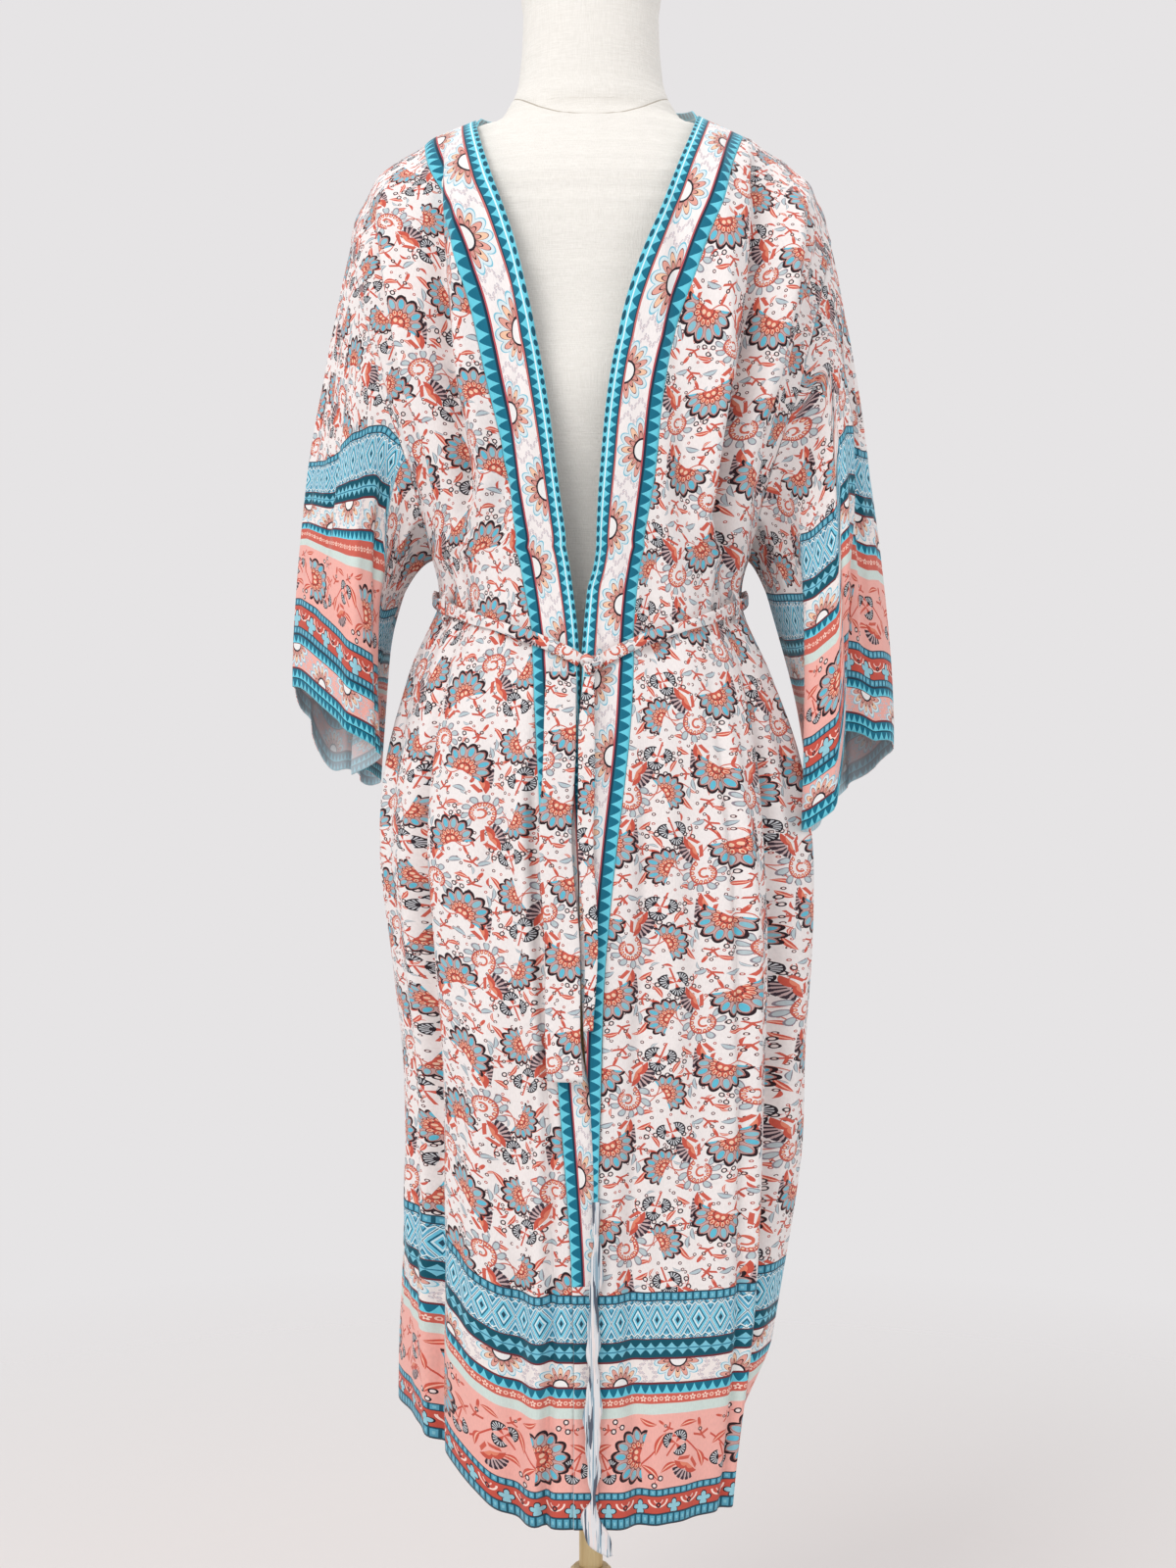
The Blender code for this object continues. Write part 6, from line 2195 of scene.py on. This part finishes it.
def periodic(at, values):
    """Reads a closed row of values at fractional places, smoothly."""
    count = len(values)
    i = np.floor(at).astype(int)
    t = at - i
    a, b, c, d = (values[(i + k) % count] for k in (-1, 0, 1, 2))
    return b + 0.5 * t * (c - a + t * (2 * a - 5 * b + 4 * c - d + t * (3 * (b - c) + d - a)))


def lay_print(obj):
    """Cloth coordinates for a small plain piece, from its own place."""
    points = np.empty(len(obj.data.vertices) * 3, np.float32)
    obj.data.vertices.foreach_get("co", points)
    points = points.reshape(-1, 3)
    flat = np.stack([points[:, 0] + points[:, 1], points[:, 2]], axis=-1)
    set_print(obj.data, flat, flat, 0.0)


def carry(piece, node):
    """Puts a finer piece in the place of its solid."""
    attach(piece, "root")
    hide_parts(node)
    return piece


def floor_plane():
    """A plain pale floor that fades out at its edge."""
    turn = np.linspace(0, 2 * math.pi, FLOOR_CORNERS, endpoint=False)
    points = [(FLOOR_REACH * math.cos(t), FLOOR_REACH * math.sin(t), 0.0) for t in turn]
    mesh = bpy.data.meshes.new("floor")
    mesh.from_pydata(points, [], [tuple(range(FLOOR_CORNERS))])
    settings = {"Base Color": linear(226, 222, 220), "Roughness": 0.9}
    material, tree, shader = new_material("floor", settings)
    x, y, _ = parts_of(tree, object_place(tree))
    solid = (distance(x, y) / FLOOR_REACH).times_plus(-1.6, 1.6).math("MINIMUM", 1.0, clamp=True)
    feed(tree, shader.inputs["Alpha"], solid)
    mesh.materials.append(material)
    return add_object("floor", mesh)


FLOOR_REACH = 1.9
FLOOR_CORNERS = 96
COAT_MIDDLE_Z = 0.85
CAMERA_LENS = 47.25
CAMERA_AWAY = 1.75
CAMERA_X = -0.0025
# Lamps: name, place, size, energy and colour
LAMPS = (
    ("key", (-1.5, -2.3, 2.7), (1.5, 1.5), 40.0, (1.0, 0.985, 0.97)),
    ("fill", (2.4, -2.2, 1.4), (1.6, 2.2), 5.0, (0.96, 0.98, 1.0)),
    ("top", (0.2, 0.6, 3.2), (1.8, 1.8), 14.0, (1.0, 1.0, 1.0)),
)


def lamp(name, place, size, energy, colour):
    """A large soft lamp that points at the coat's middle."""
    data = bpy.data.lights.new(name, "AREA")
    data.shape = "RECTANGLE"
    data.size, data.size_y = size
    data.energy = energy
    data.color = colour
    obj = add_object(name, data)
    obj.location = place
    direction = Vector((0.0, 0.0, COAT_MIDDLE_Z)) - Vector(place)
    obj.rotation_euler = direction.to_track_quat("-Z", "Y").to_euler()


def set_world():
    """Even pale surroundings."""
    world = bpy.data.worlds.new("studio")
    world.use_nodes = True
    world.node_tree.nodes["Background"].inputs[0].default_value = linear(230, 228, 229)
    world.node_tree.nodes["Background"].inputs[1].default_value = 1.0
    bpy.context.scene.world = world


def set_camera():
    """The photograph's camera: level, at the coat's middle height."""
    data = bpy.data.cameras.new("camera")
    data.sensor_fit = "AUTO"
    data.sensor_width = 36.0
    data.lens = CAMERA_LENS
    obj = add_object("camera", data)
    obj.location = (CAMERA_X, -CAMERA_AWAY, COAT_MIDDLE_Z)
    obj.rotation_euler = (math.radians(90), 0.0, 0.0)
    bpy.context.scene.camera = obj


def main():
    """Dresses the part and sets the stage."""
    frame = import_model()
    scene = bpy.context.scene
    scene.view_settings.view_transform = "Standard"

    body_print = cloth_material("body_print", body_design)
    sleeve_print = cloth_material("sleeve_print", sleeve_design)
    band_print = cloth_material("band_print", band_design, 0.6)
    plain_print = cloth_material("plain_print", field_design, 0.5)
    wood = wood_material("wood")
    back = carry(fine_back(body_print), "back_panel")
    for side in ("right", "left"):
        front = fine_front(side, body_print)
        carry(front, "front_panel_" + side)
        band_piece = fine_band(side, band_print, body_print)
        carry(band_piece, "front_band_" + side)
        sleeve_piece = fine_sleeve(side, sleeve_print)
        carry(sleeve_piece, "sleeve_" + side)
    neck = carry(fine_neck(band_print), "neck_band")
    form = carry(fine_form(linen_material("linen")), "dress_form")

    for side in ("right", "left"):
        belt_piece = fine_belt(side, plain_print)
        carry(belt_piece, "belt_" + side)
        tie_piece = fine_tie(side, plain_print)
        carry(tie_piece, "tie_end_" + side)
    carry(fine_knot(plain_print), "belt_knot")
    turned = turned_edge(reverse_material("reverse of the cloth"))
    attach(turned, "root")

    for name, obj in frame["nodes"].items():
        if name.startswith("stand_"):
            obj.data.materials.clear()
            obj.data.materials.append(wood)
        if name.startswith("belt_loop_"):
            lay_print(obj)
            obj.data.materials.clear()
            obj.data.materials.append(plain_print)

    floor_plane()
    set_world()
    for settings in LAMPS:
        lamp(*settings)
    set_camera()


main()
